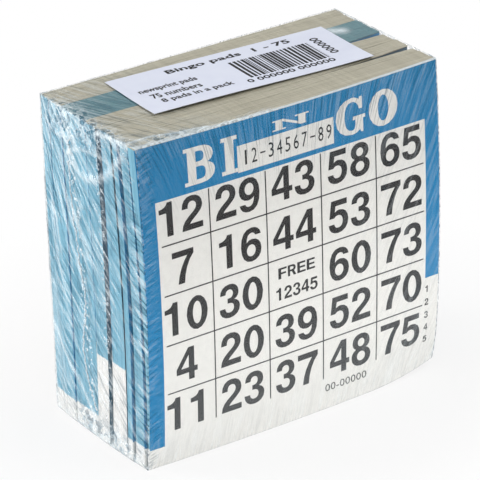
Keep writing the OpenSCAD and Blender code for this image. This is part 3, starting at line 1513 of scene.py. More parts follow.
@dataclass
class Pad:
    """One gummed pad: its block of sheets, its uppermost card with the print, and its gum."""

    number: int
    facing: Facing
    gum: Gum
    stack: Stack
    layout: CardLayout
    case: TypeCase
    leaf_pitch: float = 0.27
    ragged: float = 0.14
    wave_h: float = 22.0
    wave_ring: float = 0.6
    wave_swing: float = 0.3
    ridge: float = 0.13
    lump: float = 0.05
    lump_size: Spot = (4.0, 0.8)
    worn_end: float = 0.04
    worn_reach: float = 0.8
    worn_rim: float = 0.06
    leaf_cells: Spot = (14, 40)
    card_cells: int = 28
    gum_cells: int = 64

    @property
    def body(self) -> str:
        """Body that the pad's pieces ride on."""
        return f"pad_{self.number}"

    def box(self, node: str) -> tuple[np.ndarray, np.ndarray]:
        """Corners of one of the pad's nodes."""
        low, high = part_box(f"{self.body}_{node}")
        return np.array(low) / MM, np.array(high) / MM

    def settle(self, piece: bpy.types.Object, points: np.ndarray, bound: bool = False) -> None:
        """Moves a piece's points, of the gum if bound, from the square pad to the bent stack."""
        place_points(piece, self.stack.bend(self.stack.spread(self.number, points, bound)))

    def rings(self, low: np.ndarray, high: np.ndarray) -> int:
        """Number of rings of sheets between two places along Y."""
        return max(4, round((high[1] - low[1]) / self.leaf_pitch))

    def build_leaves(self, material: bpy.types.Material, back: bpy.types.Material) -> None:
        """Builds the block of sheets, whose edges are not quite flush.

        Args:
            material: Finish of the cut edges.
            back: Finish of the blank sides.
        """
        low, high = self.box("sheets")
        count = self.rings(low, high)
        block = add_block(f"{self.body}_leaves", low, high, (self.leaf_cells[0], count, self.leaf_cells[1]))
        points = points_of(block)
        x, y, z = points.T.copy()
        ring = np.rint((y - low[1]) / (high[1] - low[1]) * count).astype(int)
        draws = np.random.default_rng(self.number)
        left, right, foot = draws.random((3, count + 1)) ** 2 * self.ragged
        wave = smooth_noise(z / self.wave_h, ring * self.wave_ring, self.number)
        wave = 1 - self.wave_swing + self.wave_swing * wave
        points[:, 0] += left[ring] * wave * level_with(x, low[0])
        points[:, 0] -= right[ring] * wave * level_with(x, high[0])
        points[:, 2] += foot[ring] * level_with(z, low[2])
        self.settle(block, points)
        dress(block, self.body, material, f"{self.body}_sheets")
        block.data.materials.append(back)
        for face in block.data.polygons:
            face.material_index = int(abs(face.normal.y) > SQUARE_ON)

    def build_card(self, material: bpy.types.Material) -> None:
        """Builds the uppermost card, with the map that its print follows.

        Args:
            material: Finish of the printed card.
        """
        low, high = self.box("card")
        card = add_block(f"{self.body}_top_card", low, high, (self.card_cells, 1, self.card_cells))
        points = points_of(card)
        across = (points[:, 0] - low[0]) / (high[0] - low[0])
        if self.facing is Facing.BACK:
            across = 1 - across
        down = (self.stack.top - points[:, 2]) / (self.stack.top - low[2])
        layer = card.data.uv_layers.new(name="card")
        corners = np.empty(len(card.data.loops), np.int32)
        card.data.loops.foreach_get("vertex_index", corners)
        layer.data.foreach_set("uv", np.column_stack([across, down])[corners].astype(np.float32).ravel())
        self.settle(card, points)
        smooth_faces(card)
        dress(card, self.body, material, f"{self.body}_card")

    def build_gum(self, material: bpy.types.Material) -> None:
        """Builds the gum, which shows the sheets under it as low ridges.

        Args:
            material: Finish of the gum.
        """
        low, high = self.box("gum")
        count = self.rings(low, high)
        strip = add_block(f"{self.body}_gum_strip", low, high, (self.gum_cells, count, 1))
        points = points_of(strip)
        x, y, z = points.T.copy()
        ring = np.rint((y - low[1]) / (high[1] - low[1]) * count).astype(int)
        draws = np.random.default_rng(self.number + 40)
        worn = (draws.random(count + 1) ** 2 * self.ridge)[ring]
        long, wide = self.lump_size
        worn += self.lump * (1 + smooth_noise(x / long, y / wide, self.number + 60))
        worn += sum(self.worn_end * np.exp(-off / self.worn_reach) for off in (x - low[0], high[0] - x))
        worn += self.worn_rim * np.isin(ring, (0, count))
        points[:, 2] -= worn * level_with(z, high[2])
        self.settle(strip, points, bound=True)
        dress(strip, self.body, material, f"{self.body}_gum")

    def print_on(self, pieces: list[bpy.types.Object], name: str, material: bpy.types.Material) -> None:
        """Joins printed copies and lays them on the card's bent face.

        Args:
            pieces: Copies set from the card's left edge and its top, looking along -Y.
            name: Name of the joined piece.
            material: Its finish.
        """
        piece = join_pieces(pieces, f"{self.body}_{name}")
        x, y, z = points_of(piece).T
        sign = -self.facing.value
        edge, face, _ = self.box("card")[int(self.facing is Facing.BACK)]
        flat = np.column_stack([edge + sign * x, np.full(len(x), face), self.stack.top + z])
        laid = self.stack.spread(self.number, flat)
        laid[:, 1] += sign * y
        place_points(piece, self.stack.bend(laid))
        dress(piece, self.body, material)

    def build_heading(self, material: bpy.types.Material) -> None:
        """Prints the heading's letters, which are bare paper on the blue band.

        Args:
            material: Finish of the bare paper.
        """
        boxes = [(letter, self.up(start), self.up(end)) for letter, start, end in self.layout.heading]
        letters = [self.case.fill(self.case.character(letter), start, end) for letter, start, end in boxes]
        self.print_on(letters, "heading", material)

    @staticmethod
    def up(spot: Spot) -> Spot:
        """Place from the left edge and up from the top, for one given from the top down."""
        return spot[0], -spot[1]

    def ruled_lines(self) -> list[bpy.types.Object]:
        """Rules the lines between the squares, each divided so that it can follow the card.

        Returns:
            The lines.
        """
        layout, high = self.layout, self.case.raise_by
        half, lines = layout.line_w / 2, []
        (head, foot), (start, end) = layout.upright_run, layout.level_run
        cells = (1, 1, layout.upright_cells)
        upright = add_block("upright", (-half, -high, -foot), (half, high, -head), cells)
        level = add_block("level", (start, -high, -half), (end, high, half), (layout.level_cells, 1, 1))
        for pattern, axis, places in ((upright, 0, layout.upright_lines), (level, 2, layout.level_lines)):
            for place in places:
                lines.append(copy_of(pattern))
                lines[-1].location[axis] = place * MM if axis == 0 else -place * MM
            bpy.data.objects.remove(pattern)
        return lines

    def serial(self, text: str) -> list[bpy.types.Object]:
        """Sets the serial number in light figures of one pitch.

        Args:
            text: Its figures and dashes.

        Returns:
            A piece for each figure and dash.
        """
        layout, figures = self.layout, []
        foot, head = layout.serial_run
        for place, figure in enumerate(text):
            narrow = layout.one_inset if figure == "1" else 0.0
            left = layout.serial_from + layout.serial_pitch * place
            right = left + layout.serial_share * layout.serial_pitch - narrow
            ends = layout.dash_share if figure == "-" else (0.0, 1.0)
            low, high = (-foot + share * (foot - head) for share in ends)
            figures.append(self.case.words(figure, (left + narrow, low), (right, high)))
        return figures

    def build_numbers(self, material: bpy.types.Material) -> None:
        """Prints the squares' numbers, the lines between them and the small numbers.

        Args:
            material: Finish of the ink.
        """
        layout, case = self.layout, self.case
        numbers = FRONT_NUMBERS if self.number == len(self.stack.spans) else card_numbers(self.number)
        prints = self.ruled_lines()
        middle = (layout.columns[2], layout.rows[2])
        for row, line in zip(layout.rows, numbers):
            for column, number in zip(layout.columns, line):
                if (column, row) != middle:
                    prints += case.number(str(number), (column, -row), layout.digit_h, layout.digit_pitch)
        width = (layout.free_high[0] - layout.free_low[0]) / len(layout.free)
        for place, letter in enumerate(layout.free):
            left = layout.free_low[0] + width * place
            start = self.up((left, layout.free_low[1]))
            end = self.up((left + layout.free_share * width, layout.free_high[1]))
            prints.append(case.fill(case.character(letter), start, end))
        spot, height, pitch = layout.middle_number
        prints += case.number(layout.running, self.up(spot), height, pitch)
        across, start, step, height = layout.side_number
        for place, digit in enumerate(layout.running):
            prints += case.number(digit, (across, -(start + step * place)), height, layout.side_pitch)
        prints.append(case.words(layout.code, self.up(layout.code_low), self.up(layout.code_high)))
        prints += self.serial(layout.serial)
        self.print_on(prints, "numbers", material)


@dataclass(frozen=True)
class Crumple:
    """Patch of crushed film on a panel: its middle, its half size and how deep it is."""

    panel: Panel
    middle: Spot
    reach: Spot
    depth: float


@dataclass(frozen=True)
class Fold:
    """One standing fold in the film: the points that it runs through, its height, its width, and how far it
    whitens the film, partly its own whitening and partly painted highlight.
    """

    panel: Panel
    run: tuple[Spot, ...]
    height: float
    width: float
    haze: float = 0.3


@dataclass(frozen=True)
class Ripple:
    """Fine ripples along an edge: their pitch, their length, how far they reach and how high they are."""

    pitch: float
    length: float
    reach: float
    height: float
    seed: int

    def rise(self, across: np.ndarray, pattern: np.ndarray, away: np.ndarray) -> np.ndarray:
        """Height of the ripples.

        Args:
            across: Place across them.
            pattern: Number of the panel's own pattern.
            away: Distance from the edge.

        Returns:
            Their height at each point.
        """
        ridge = crests(across / self.pitch, pattern + away / self.length, self.seed)
        return self.height * ridge * np.exp(-away / self.reach)


@dataclass
class Film:
    """The shrink film: one closed skin with its wrinkles, cut in two along the side seals."""

    stack: Stack
    gap: float = 0.12
    top_gap: float = 0.06
    side_gap: float = 0.2
    low_z: float = 0.03
    thick: float = 0.03
    cells: tuple[int, int, int] = (200, 90, 170)
    most_faces: int = 97000
    soft_edge: float = 2.0
    upright_ripple: Ripple = Ripple(1.05, 14, 4.5, 0.09, 3)
    top_ripple: Ripple = Ripple(1.2, 18, 8, 0.1, 4)
    foot_ripple: Ripple = Ripple(1.5, 14, 5, 0.1, 5)
    fan_waves: tuple[tuple[float, float, float], ...] = ((17, 42, 0.42), (40, 24, 0.2))
    right_calm: float = 0.4
    foot_haze: float = 0.5
    foot_reach: float = 2.2
    foot_patch: Spot = (1.6, 1.2)
    side_lean: float = 0.35
    flat_lean: float = -0.9
    foot_lean: float = -0.25
    sweep: float = 0.0075
    sweep_from: float = 5.0
    sweep_most: float = 18.0
    back_upright: float = 0.4
    back_level: float = 0.3
    fan_start: float = 10.0
    fan_least: float = 0.2
    fan_ends: Spot = (2.5, 3.0)
    crush_fall: float = 1.2
    crush_waves: tuple[tuple[float, float, float, float], ...] = ((0.6, 2.4, 0.0, 2.0), (0.4, 1.1, 0.5, 1.0))
    back_wave: Spot = (9.0, 50.0)
    back_lean: float = 0.6
    back_height: float = 0.2
    back_start: float = 12.0
    back_haze: float = 0.15
    top_facing: float = 0.6
    top_depth: float = 3.0
    crumples: tuple[Crumple, ...] = (
        Crumple(Panel.LEFT, (13, 4.5), (10, 6), 0.4),
        Crumple(Panel.LEFT, (27, 3), (7, 4), 0.35),
        Crumple(Panel.LEFT, (40, 1), (7, 1.8), 0.25),
        Crumple(Panel.LEFT, (20, 95), (9, 5), 0.5),
        Crumple(Panel.LEFT, (36, 96), (9, 3.5), 0.6),
        Crumple(Panel.TOP, (1, 14), (4, 9), 0.45),
        Crumple(Panel.TOP, (1, 32), (2.2, 12), 0.25),
        Crumple(Panel.TOP, (12, 46), (10, 2), 0.25),
        Crumple(Panel.RIGHT, (14, 8), (10, 5), 0.25),
        Crumple(Panel.RIGHT, (30, 96), (14, 4), 0.5),
    )
    # A fold's last number is how far it whitens the film: partly the crease's own whitening and partly
    # painted highlight, as on the top's front fold and the patch beside the label
    folds: tuple[Fold, ...] = (
        Fold(
            Panel.LEFT,
            (
                (14.8, 12.5), (17, 15.2), (20.2, 17), (24.4, 17.1), (28.6, 16), (33, 13.5), (36.5, 10.6),
                (42.8, 4),
            ),
            0.5, 1.2, 0.28,
        ),
        Fold(Panel.LEFT, ((14.8, 12.5), (20, 9.6), (27.6, 8.3), (32.6, 8.2), (35.8, 9)), 0.3, 0.6, 0.25),
        Fold(Panel.LEFT, ((1, 71), (8, 78), (15, 85), (23, 92)), 0.4, 0.7, 0.4),
        Fold(Panel.LEFT, ((1.5, 58), (3.5, 84)), 0.05, 3.4, 0.13),
        Fold(Panel.LEFT, ((3, 6), (8, 9), (15, 8), (22, 5)), 0.25, 0.5, 0.2),
        Fold(Panel.LEFT, ((31, 1.4), (38, 0.7), (47.5, 0.8)), 0.15, 0.55, 0.6),
        Fold(Panel.TOP, ((1, 44.5), (8, 44), (14, 46), (24, 47.2)), 0.35, 0.5, 0.55),
        Fold(Panel.TOP, ((89.6, 12.6), (93.6, 15.2)), 0.1, 2.0, 0.6),
        Fold(Panel.RIGHT, ((14, 10), (22, 17), (30, 16), (40, 6)), 0.6, 0.7),
        Fold(Panel.BACK, ((4, 3), (20, 24), (44, 60), (60, 92)), 0.4, 0.6),
        Fold(Panel.BACK, ((97, 4), (88, 30), (80, 66), (78, 94)), 0.4, 0.6),
    )

    @property
    def corner(self) -> np.ndarray:
        """Half width, half depth and top of the skin."""
        half_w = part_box("film_front")[1].x / MM - self.gap / 2
        return np.array([half_w, self.stack.back + self.gap, self.stack.top + self.top_gap])

    def hug(self, points: np.ndarray) -> np.ndarray:
        """Draws the sides of the skin in to the pads that stand out, taut from one to the next.

        Args:
            points: Points of the square skin.

        Returns:
            The drawn points.
        """
        boxes = [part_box(f"pad_{number}_gum") for number in range(len(self.stack.spans), 0, -1)]
        middles = [(low.y + high.y) / 2 / MM for low, high in boxes]
        left, right = (
            taut_over(points[:, 1], middles, ends)
            for ends in ([-low.x / MM for low, _ in boxes], [high.x / MM for _, high in boxes])
        )
        reach = np.where(points[:, 0] < 0, left, right) + self.side_gap
        return points * np.column_stack([reach / self.corner[0], np.ones((len(points), 2))])

    def near(self, away: np.ndarray) -> np.ndarray:
        """Share from 1 on a panel to 0 just round its edge, by the distance from it."""
        return np.clip(1 - away / self.soft_edge, 0, 1)

    def cover(self, points: np.ndarray) -> dict[Panel, np.ndarray]:
        """How far each point of the square skin belongs to each panel, from 0 to 1.

        Args:
            points: Points of the square skin.

        Returns:
            The shares of each panel.
        """
        x, y, z = points.T
        half_w, half_d, top = self.corner
        return {
            Panel.LEFT: self.near(x + half_w),
            Panel.RIGHT: self.near(half_w - x),
            Panel.TOP: self.near(top - z),
            Panel.FRONT: self.near(y + half_d),
            Panel.BACK: self.near(half_d - y),
        }

    def chart(self, panel: Panel, points: np.ndarray) -> tuple[np.ndarray, np.ndarray]:
        """Places on a panel: from the back or the left edge, and from the top or the back edge.

        Args:
            panel: The panel.
            points: Points of the square skin.

        Returns:
            The two places of each point.
        """
        x, y, z = points.T
        half_w, half_d, top = self.corner
        if panel in (Panel.LEFT, Panel.RIGHT):
            return half_d - y, top - z
        return x + half_w, half_d - y if panel is Panel.TOP else top - z

    def outward(self, points: np.ndarray) -> np.ndarray:
        """Direction straight out of the square skin at each point."""
        push = np.sign(points) * self.near(self.corner - np.abs(points))
        return push / np.maximum(np.linalg.norm(push, axis=1, keepdims=True), 1e-6)

    def edge_ripples(self, points: np.ndarray, cover: dict[Panel, np.ndarray]) -> np.ndarray:
        """Fine ripples that run over the edges, where the film drew in.

        Args:
            points: Points of the square skin.
            cover: Share of each panel at each point.

        Returns:
            Their height at each point.
        """
        x, y, z = points.T
        front, back = cover[Panel.FRONT], cover[Panel.BACK]
        side, depth, fall = (self.corner - np.abs(points)).T
        upright, level, foot = (np.maximum(depth, other) for other in (side, fall, z - self.low_z))
        lean = np.where(depth < side, self.side_lean * side, self.flat_lean * depth)
        sweep = self.sweep * (x - self.sweep_from) * np.minimum(level, self.sweep_most)
        height = self.upright_ripple.rise(z + lean, 9 * np.sign(x) + 5 * np.sign(y), upright)
        height *= np.where(y > 0, self.back_upright, 1)
        height += self.top_ripple.rise(x + sweep, 7 * np.sign(y), level) * (front + self.back_level * back)
        along_foot = x + self.foot_lean * foot
        return height + self.foot_ripple.rise(along_foot, 7 * np.sign(y), foot) * (front + back)

    def fan(self, panel: Panel, points: np.ndarray) -> tuple[np.ndarray, np.ndarray]:
        """Long wrinkles that fan out over a side from its rear upper corner.

        Args:
            panel: The side.
            points: Points of the square skin.

        Returns:
            Their height, and the whitening of the loose film at the foot with painted glints, at each point.
        """
        u, v = self.chart(panel, points)
        far, down = u + FAN_FROM[0], v + FAN_FROM[1]
        angle, reach = np.arctan2(down, far), np.hypot(down, far)
        seed, calm = (11, 1.0) if panel is Panel.LEFT else (21, self.right_calm)
        rise = np.zeros(len(u))
        for draw, (turns, length, high) in enumerate(self.fan_waves, seed):
            rise += high * crests(angle * turns, reach / length, draw)
        rear, fore = self.fan_ends
        ends = (1 - np.exp(-u / rear)) * (1 - np.exp((u - 2 * self.corner[1]) / fore))
        long, tall = self.foot_patch
        loose = np.clip(0.6 * (1 + smooth_noise(u / long, v / tall, seed + 3)), 0, 1)
        # Whitening of the loose film at the foot, with painted glints
        haze = self.foot_haze * loose * np.exp(-(self.corner[2] - v) / self.foot_reach)
        return calm * rise * np.clip(v / self.fan_start, self.fan_least, 1) * ends, haze

    def crush(self, patch: Crumple, points: np.ndarray) -> tuple[np.ndarray, np.ndarray]:
        """Height of one crushed patch.

        Args:
            patch: The patch.
            points: Points of the square skin.

        Returns:
            Its height and how far each point is crushed.
        """
        u, v = self.chart(patch.panel, points)
        far = ((u - patch.middle[0]) / patch.reach[0]) ** 2 + ((v - patch.middle[1]) / patch.reach[1]) ** 2
        share = np.exp(-far * self.crush_fall)
        rough = np.zeros(len(u))
        for draw, (high, pitch, lean, length) in enumerate(self.crush_waves, 31):
            rough += high * crests(u / pitch + lean * v, v / length, draw)
        return patch.depth * share * rough, share

    def stand(self, fold: Fold, points: np.ndarray) -> np.ndarray:
        """Share of one standing fold's height that each point of the square skin has.

        Args:
            fold: The fold.
            points: Points of the square skin.

        Returns:
            The shares, from 0 to 1.
        """
        u, v = self.chart(fold.panel, points)
        offs = []
        for start, end in zip(fold.run, fold.run[1:]):
            run = np.subtract(end, start)
            along = np.clip(((u - start[0]) * run[0] + (v - start[1]) * run[1]) / (run @ run), 0, 1)
            offs.append(np.hypot(u - start[0] - along * run[0], v - start[1] - along * run[1]))
        return np.exp(-((np.min(offs, axis=0) / fold.width) ** 2))

    def build_skin(self) -> bpy.types.Object:
        """Builds the whole skin with its wrinkles, bent like the stack.

        Returns:
            The skin, which carries its whitening with painted glints, its crushed patches and its square
            places.
        """
        half_w, half_d, top = self.corner
        skin = add_block("film_skin", (-half_w, -half_d, self.low_z), (half_w, half_d, top), self.cells)
        points = points_of(skin)
        cover = self.cover(points)
        height = self.edge_ripples(points, cover)
        haze, crush = np.zeros(len(points)), np.zeros(len(points))
        for panel in (Panel.LEFT, Panel.RIGHT):
            rise, milk = self.fan(panel, points)
            height += rise * cover[panel]
            haze += milk * cover[panel]
        u, v = self.chart(Panel.BACK, points)
        pitch, length = self.back_wave
        streak = crests((u + self.back_lean * v) / pitch, v / length, 41) * cover[Panel.BACK]
        height += self.back_height * streak * np.clip(v / self.back_start, 0, 1)
        # Painted highlight along the crests of the back's wrinkles
        haze += self.back_haze * streak**2
        for patch in self.crumples:
            rise, share = self.crush(patch, points)
            height += rise * cover[patch.panel]
            crush += share * cover[patch.panel]
        for fold in self.folds:
            share = self.stand(fold, points) * cover[fold.panel]
            height += fold.height * share
            haze += fold.haze * share
        height *= np.clip(points[:, 2] - self.low_z, 0, 1)
        place_points(skin, self.stack.bend(self.hug(points) + self.outward(points) * height[:, None]))
        for name, values in (("haze", haze), ("crush", crush)):
            mask = skin.data.attributes.new(name, "FLOAT", "POINT")
            mask.data.foreach_set("value", np.clip(values, 0, 1).astype(np.float32))
        flat = skin.data.attributes.new("flat", "FLOAT_VECTOR", "POINT")
        flat.data.foreach_set("vector", points.astype(np.float32).ravel())
        return skin

    def seal_line(self) -> tuple[float, float]:
        """Y of the side seal at its foot and at its top, on the bead's node.

        Returns:
            The two places.
        """
        low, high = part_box("seal_bead")
        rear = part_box("film_front")[1].y / MM
        lean = (high.y - low.y) / (high.z - low.z)
        return rear - lean * self.stack.top, rear

    def cut_halves(self, skin: bpy.types.Object) -> tuple[bpy.types.Object, bpy.types.Object]:
        """Cuts the skin along the side seals and round the top's front edge.

        Args:
            skin: The whole skin.

        Returns:
            The front half and the rear half.
        """
        seal_low, seal_high = self.seal_line()
        run = Vector((0, seal_high - seal_low, self.stack.top))
        normal = run.cross(Vector((1, 0, 0))).normalized()
        activate(skin)
        bpy.ops.object.mode_set(mode="EDIT")
        bpy.ops.mesh.select_mode(type="FACE")
        bpy.ops.mesh.select_all(action="SELECT")
        bpy.ops.mesh.bisect(plane_co=(0, seal_low * MM, 0), plane_no=normal)
        mesh = bmesh.from_edit_mesh(skin.data)
        for face in mesh.faces:
            middle = face.calc_center_median() / MM
            before = (middle - Vector((0, seal_low, 0))).dot(normal) * normal.y < 0
            on_top = face.normal.z > self.top_facing and middle.z > self.corner[2] - self.top_depth
            face.select_set(before and not on_top)
        bmesh.update_edit_mesh(skin.data)
        bpy.ops.mesh.separate(type="SELECTED")
        bpy.ops.object.mode_set(mode="OBJECT")
        front = next(o for o in bpy.context.selected_objects if o is not skin)
        return front, skin

    def build(self, material: bpy.types.Material) -> None:
        """Builds both halves of the film.

        Args:
            material: Finish of the film.
        """
        for piece, end in zip(self.cut_halves(self.build_skin()), ("front", "rear")):
            name_piece(piece, f"{end}_film_skin")
            triangles = sum(len(face.vertices) - 2 for face in piece.data.polygons)
            if triangles > self.most_faces:
                apply_modifier(piece, "DECIMATE", ratio=self.most_faces / triangles)
            apply_modifier(piece, "SOLIDIFY", thickness=self.thick * MM, offset=-1.0)
            activate(piece)
            bpy.ops.object.shade_smooth()
            dress(piece, f"{end}_film", material, f"film_{end}")


@dataclass
class SealBead:
    """The melted ridge along the trim seals on both sides."""

    film: Film
    thick: float = 0.24
    steps: int = 14
    wander: float = 0.45
    wander_pitch: Spot = (1.3, 0.5)
    fine_share: float = 0.5
    swell: float = 0.5
    swell_pitch: float = 0.8
    pressed: float = 0.8
    stand_off: float = 0.25
    left_run: tuple[Spot, ...] = (
        (15.4, 8), (14.6, 17), (14.9, 28), (16.2, 38), (17.4, 46), (19.4, 56), (18.6, 63), (17.2, 72),
        (18.8, 80), (21.2, 86), (23.2, 90),
    )
    right_run: tuple[Spot, ...] = (
        (14.8, 9), (15.9, 22), (15.2, 34), (17.8, 47), (17.0, 60), (19.6, 72), (19.2, 82), (22.4, 90),
    )

    def strand(self, side: int, run: tuple[Spot, ...]) -> bpy.types.Object:
        """Makes one ridge: a lumpy tube, pressed flat on the film.

        Args:
            side: -1 for the left side and 1 for the right side.
            run: Its points, from the back and from the top.

        Returns:
            The ridge.
        """
        half_w, half_d, top = self.film.corner
        curve = bpy.data.curves.new("bead", "CURVE")
        curve.dimensions = "3D"
        curve.bevel_depth = self.thick * MM
        curve.bevel_resolution = 1
        curve.use_fill_caps = True
        curve.resolution_u = self.steps
        spline = curve.splines.new("BEZIER")
        spline.bezier_points.add(len(run) - 1)
        wall = side * half_w
        for point, (u, v) in zip(spline.bezier_points, run):
            point.co = Vector((wall, half_d - u, top - v)) * MM
            point.handle_left_type = point.handle_right_type = "AUTO"
        piece = mesh_of(curve)
        x, y, z = points_of(piece).T
        sides = np.full(len(x), float(side))
        broad, fine = (smooth_noise(z / p, 3 * sides, 51 + i) for i, p in enumerate(self.wander_pitch))
        swell = 1 + self.swell * smooth_noise(z / self.swell_pitch, 5 * sides, 53)
        out = wall + (x - wall) * swell * self.pressed + side * self.stand_off
        lumpy = np.column_stack([out, y + self.wander * (broad + self.fine_share * fine), z])
        place_points(piece, self.film.stack.bend(self.film.hug(lumpy)))
        bpy.ops.object.shade_smooth()
        return piece

    def build(self, material: bpy.types.Material) -> None:
        """Builds both ridges as one piece.

        Args:
            material: Finish of the melted film.
        """
        strands = [self.strand(-1, self.left_run), self.strand(1, self.right_run)]
        bead = join_pieces(strands, "side_seal_bead")
        dress(bead, "rear_film", material, "seal_bead")


@dataclass
class Label:
    """The bar-code label on the film's top, with generic print."""

    stack: Stack
    case: TypeCase
    length: float = 72.0
    depth: float = 27.6
    thick: float = 0.11
    cells: tuple[int, int, int] = (60, 24, 1)
    middle: Spot = (2.4, 4.0)
    turn: float = -3.3
    lift: float = 0.45
    loose_share: float = 0.55
    wave_mean: float = 0.65
    wave_swing: float = 0.35
    wave_turn: float = 5.2
    wave_start: float = 0.4
    corner_from: float = 0.8
    corner_gain: float = 2.0
    clear: float = 0.26
    bars_from: float = 35.4
    bars_to: float = 61.8
    bar_run: Spot = (6.8, 19.6)
    bar_unit: float = 0.29
    bar_cells: int = 8
    title_bold: float = 0.026
    line_bold: float = 0.022
    side_bold: float = 0.02
    lines: tuple[tuple[str, Spot, Spot], ...] = (
        ("Bingo pads  1 - 75", (17.5, 21.6), (58.5, 25.0)),
        ("newsprint pads", (4.0, 13.6), (22.6, 17.0)),
        ("75 numbers", (5.4, 9.4), (21.4, 12.4)),
        ("8 pads in a pack", (6.4, 4.8), (29.4, 8.2)),
        ("0 000000 000000", (33.0, 3.6), (62.0, 6.1)),
    )
    side_line: tuple[str, Spot, Spot] = ("000000", (63.5, 8.6), (66.3, 21.5))

    def lay(self, points: np.ndarray) -> np.ndarray:
        """Moves points from the flat label to the top of the brick.

        Args:
            points: From the label's left edge, its front edge and its underside.

        Returns:
            The points in the part's frame.
        """
        x, y, z = points.T
        loose = np.clip(1 - y / (self.loose_share * self.depth), 0, 1) ** 2
        wave = self.wave_mean + self.wave_swing * np.sin(x / self.length * self.wave_turn + self.wave_start)
        corner = np.clip(x / self.length - self.corner_from, 0, 1) * self.corner_gain
        rise = self.lift * loose * (wave + corner)
        cos, sin = math.cos(math.radians(self.turn)), math.sin(math.radians(self.turn))
        across, back = x - self.length / 2, y - self.depth / 2
        new_x = self.middle[0] + across * cos - back * sin
        new_y = self.middle[1] + across * sin + back * cos
        return np.column_stack([new_x, new_y, self.stack.top + self.clear + z + rise])

    def build_paper(self, material: bpy.types.Material) -> None:
        """Builds the paper, with a loose front edge.

        Args:
            material: Finish of the paper.
        """
        paper = add_block("label_paper", (0, 0, 0), (self.length, self.depth, self.thick), self.cells)
        place_points(paper, self.lay(points_of(paper)))
        smooth_faces(paper)
        dress(paper, "rear_film", material, "label")

    def bars(self) -> list[bpy.types.Object]:
        """Prints a row of bars that stand for no number, standing up like type on a card.

        Returns:
            The bars.
        """
        draws = np.random.default_rng(7)
        (foot, head), high = self.bar_run, self.case.raise_by
        place, bars = self.bars_from, []
        while place < self.bars_to:
            width = self.bar_unit * draws.integers(1, 4)
            end = min(place + width, self.bars_to)
            bars.append(add_block("bar", (place, -high, foot), (end, high, head), (1, 1, self.bar_cells)))
            place += width + self.bar_unit * draws.integers(1, 3)
        return bars

    def build_print(self, material: bpy.types.Material) -> None:
        """Prints bars, plain figures and plain words.

        Args:
            material: Finish of the ink.
        """
        prints = self.bars()
        for place, (words, low, high) in enumerate(self.lines):
            prints.append(self.case.words(words, low, high, self.line_bold if place else self.title_bold))
        words, low, high = self.side_line
        prints.append(self.case.words(words, low[::-1], high[::-1], self.side_bold))
        turn = Matrix.Rotation(math.pi / 2, 4, "Y")
        back = Matrix.Translation((0, 0, (low[1] + high[1]) * MM))
        prints[-1].matrix_world = back @ turn @ prints[-1].matrix_world
        piece = join_pieces(prints, "label_print")
        x, y, z = points_of(piece).T
        place_points(piece, self.lay(np.column_stack([x, z, self.thick - y])))
        dress(piece, "rear_film", material)


@dataclass(frozen=True)
class Softbox:
    """One soft lamp: its direction from the brick, distance and size in metres, and power in watts."""

    name: str
    toward: Colour
    distance: float
    size: Spot
    power: float
    mirrored: bool = True

    def build(self, aim: Colour) -> None:
        """Adds the lamp, looking at a point of the brick.

        Args:
            aim: The point.
        """
        deselect_all()
        bpy.ops.object.light_add(type="AREA")
        lamp = bpy.context.object
        lamp.name = self.name
        lamp.data.shape = "RECTANGLE"
        lamp.data.size, lamp.data.size_y = self.size
        lamp.data.energy = self.power
        way = Vector(self.toward).normalized()
        lamp.location = Vector(aim) + way * self.distance
        lamp.rotation_mode = "QUATERNION"
        lamp.rotation_quaternion = way.to_track_quat("Z", "Y")
        lamp.visible_camera = False
        lamp.visible_glossy = self.mirrored


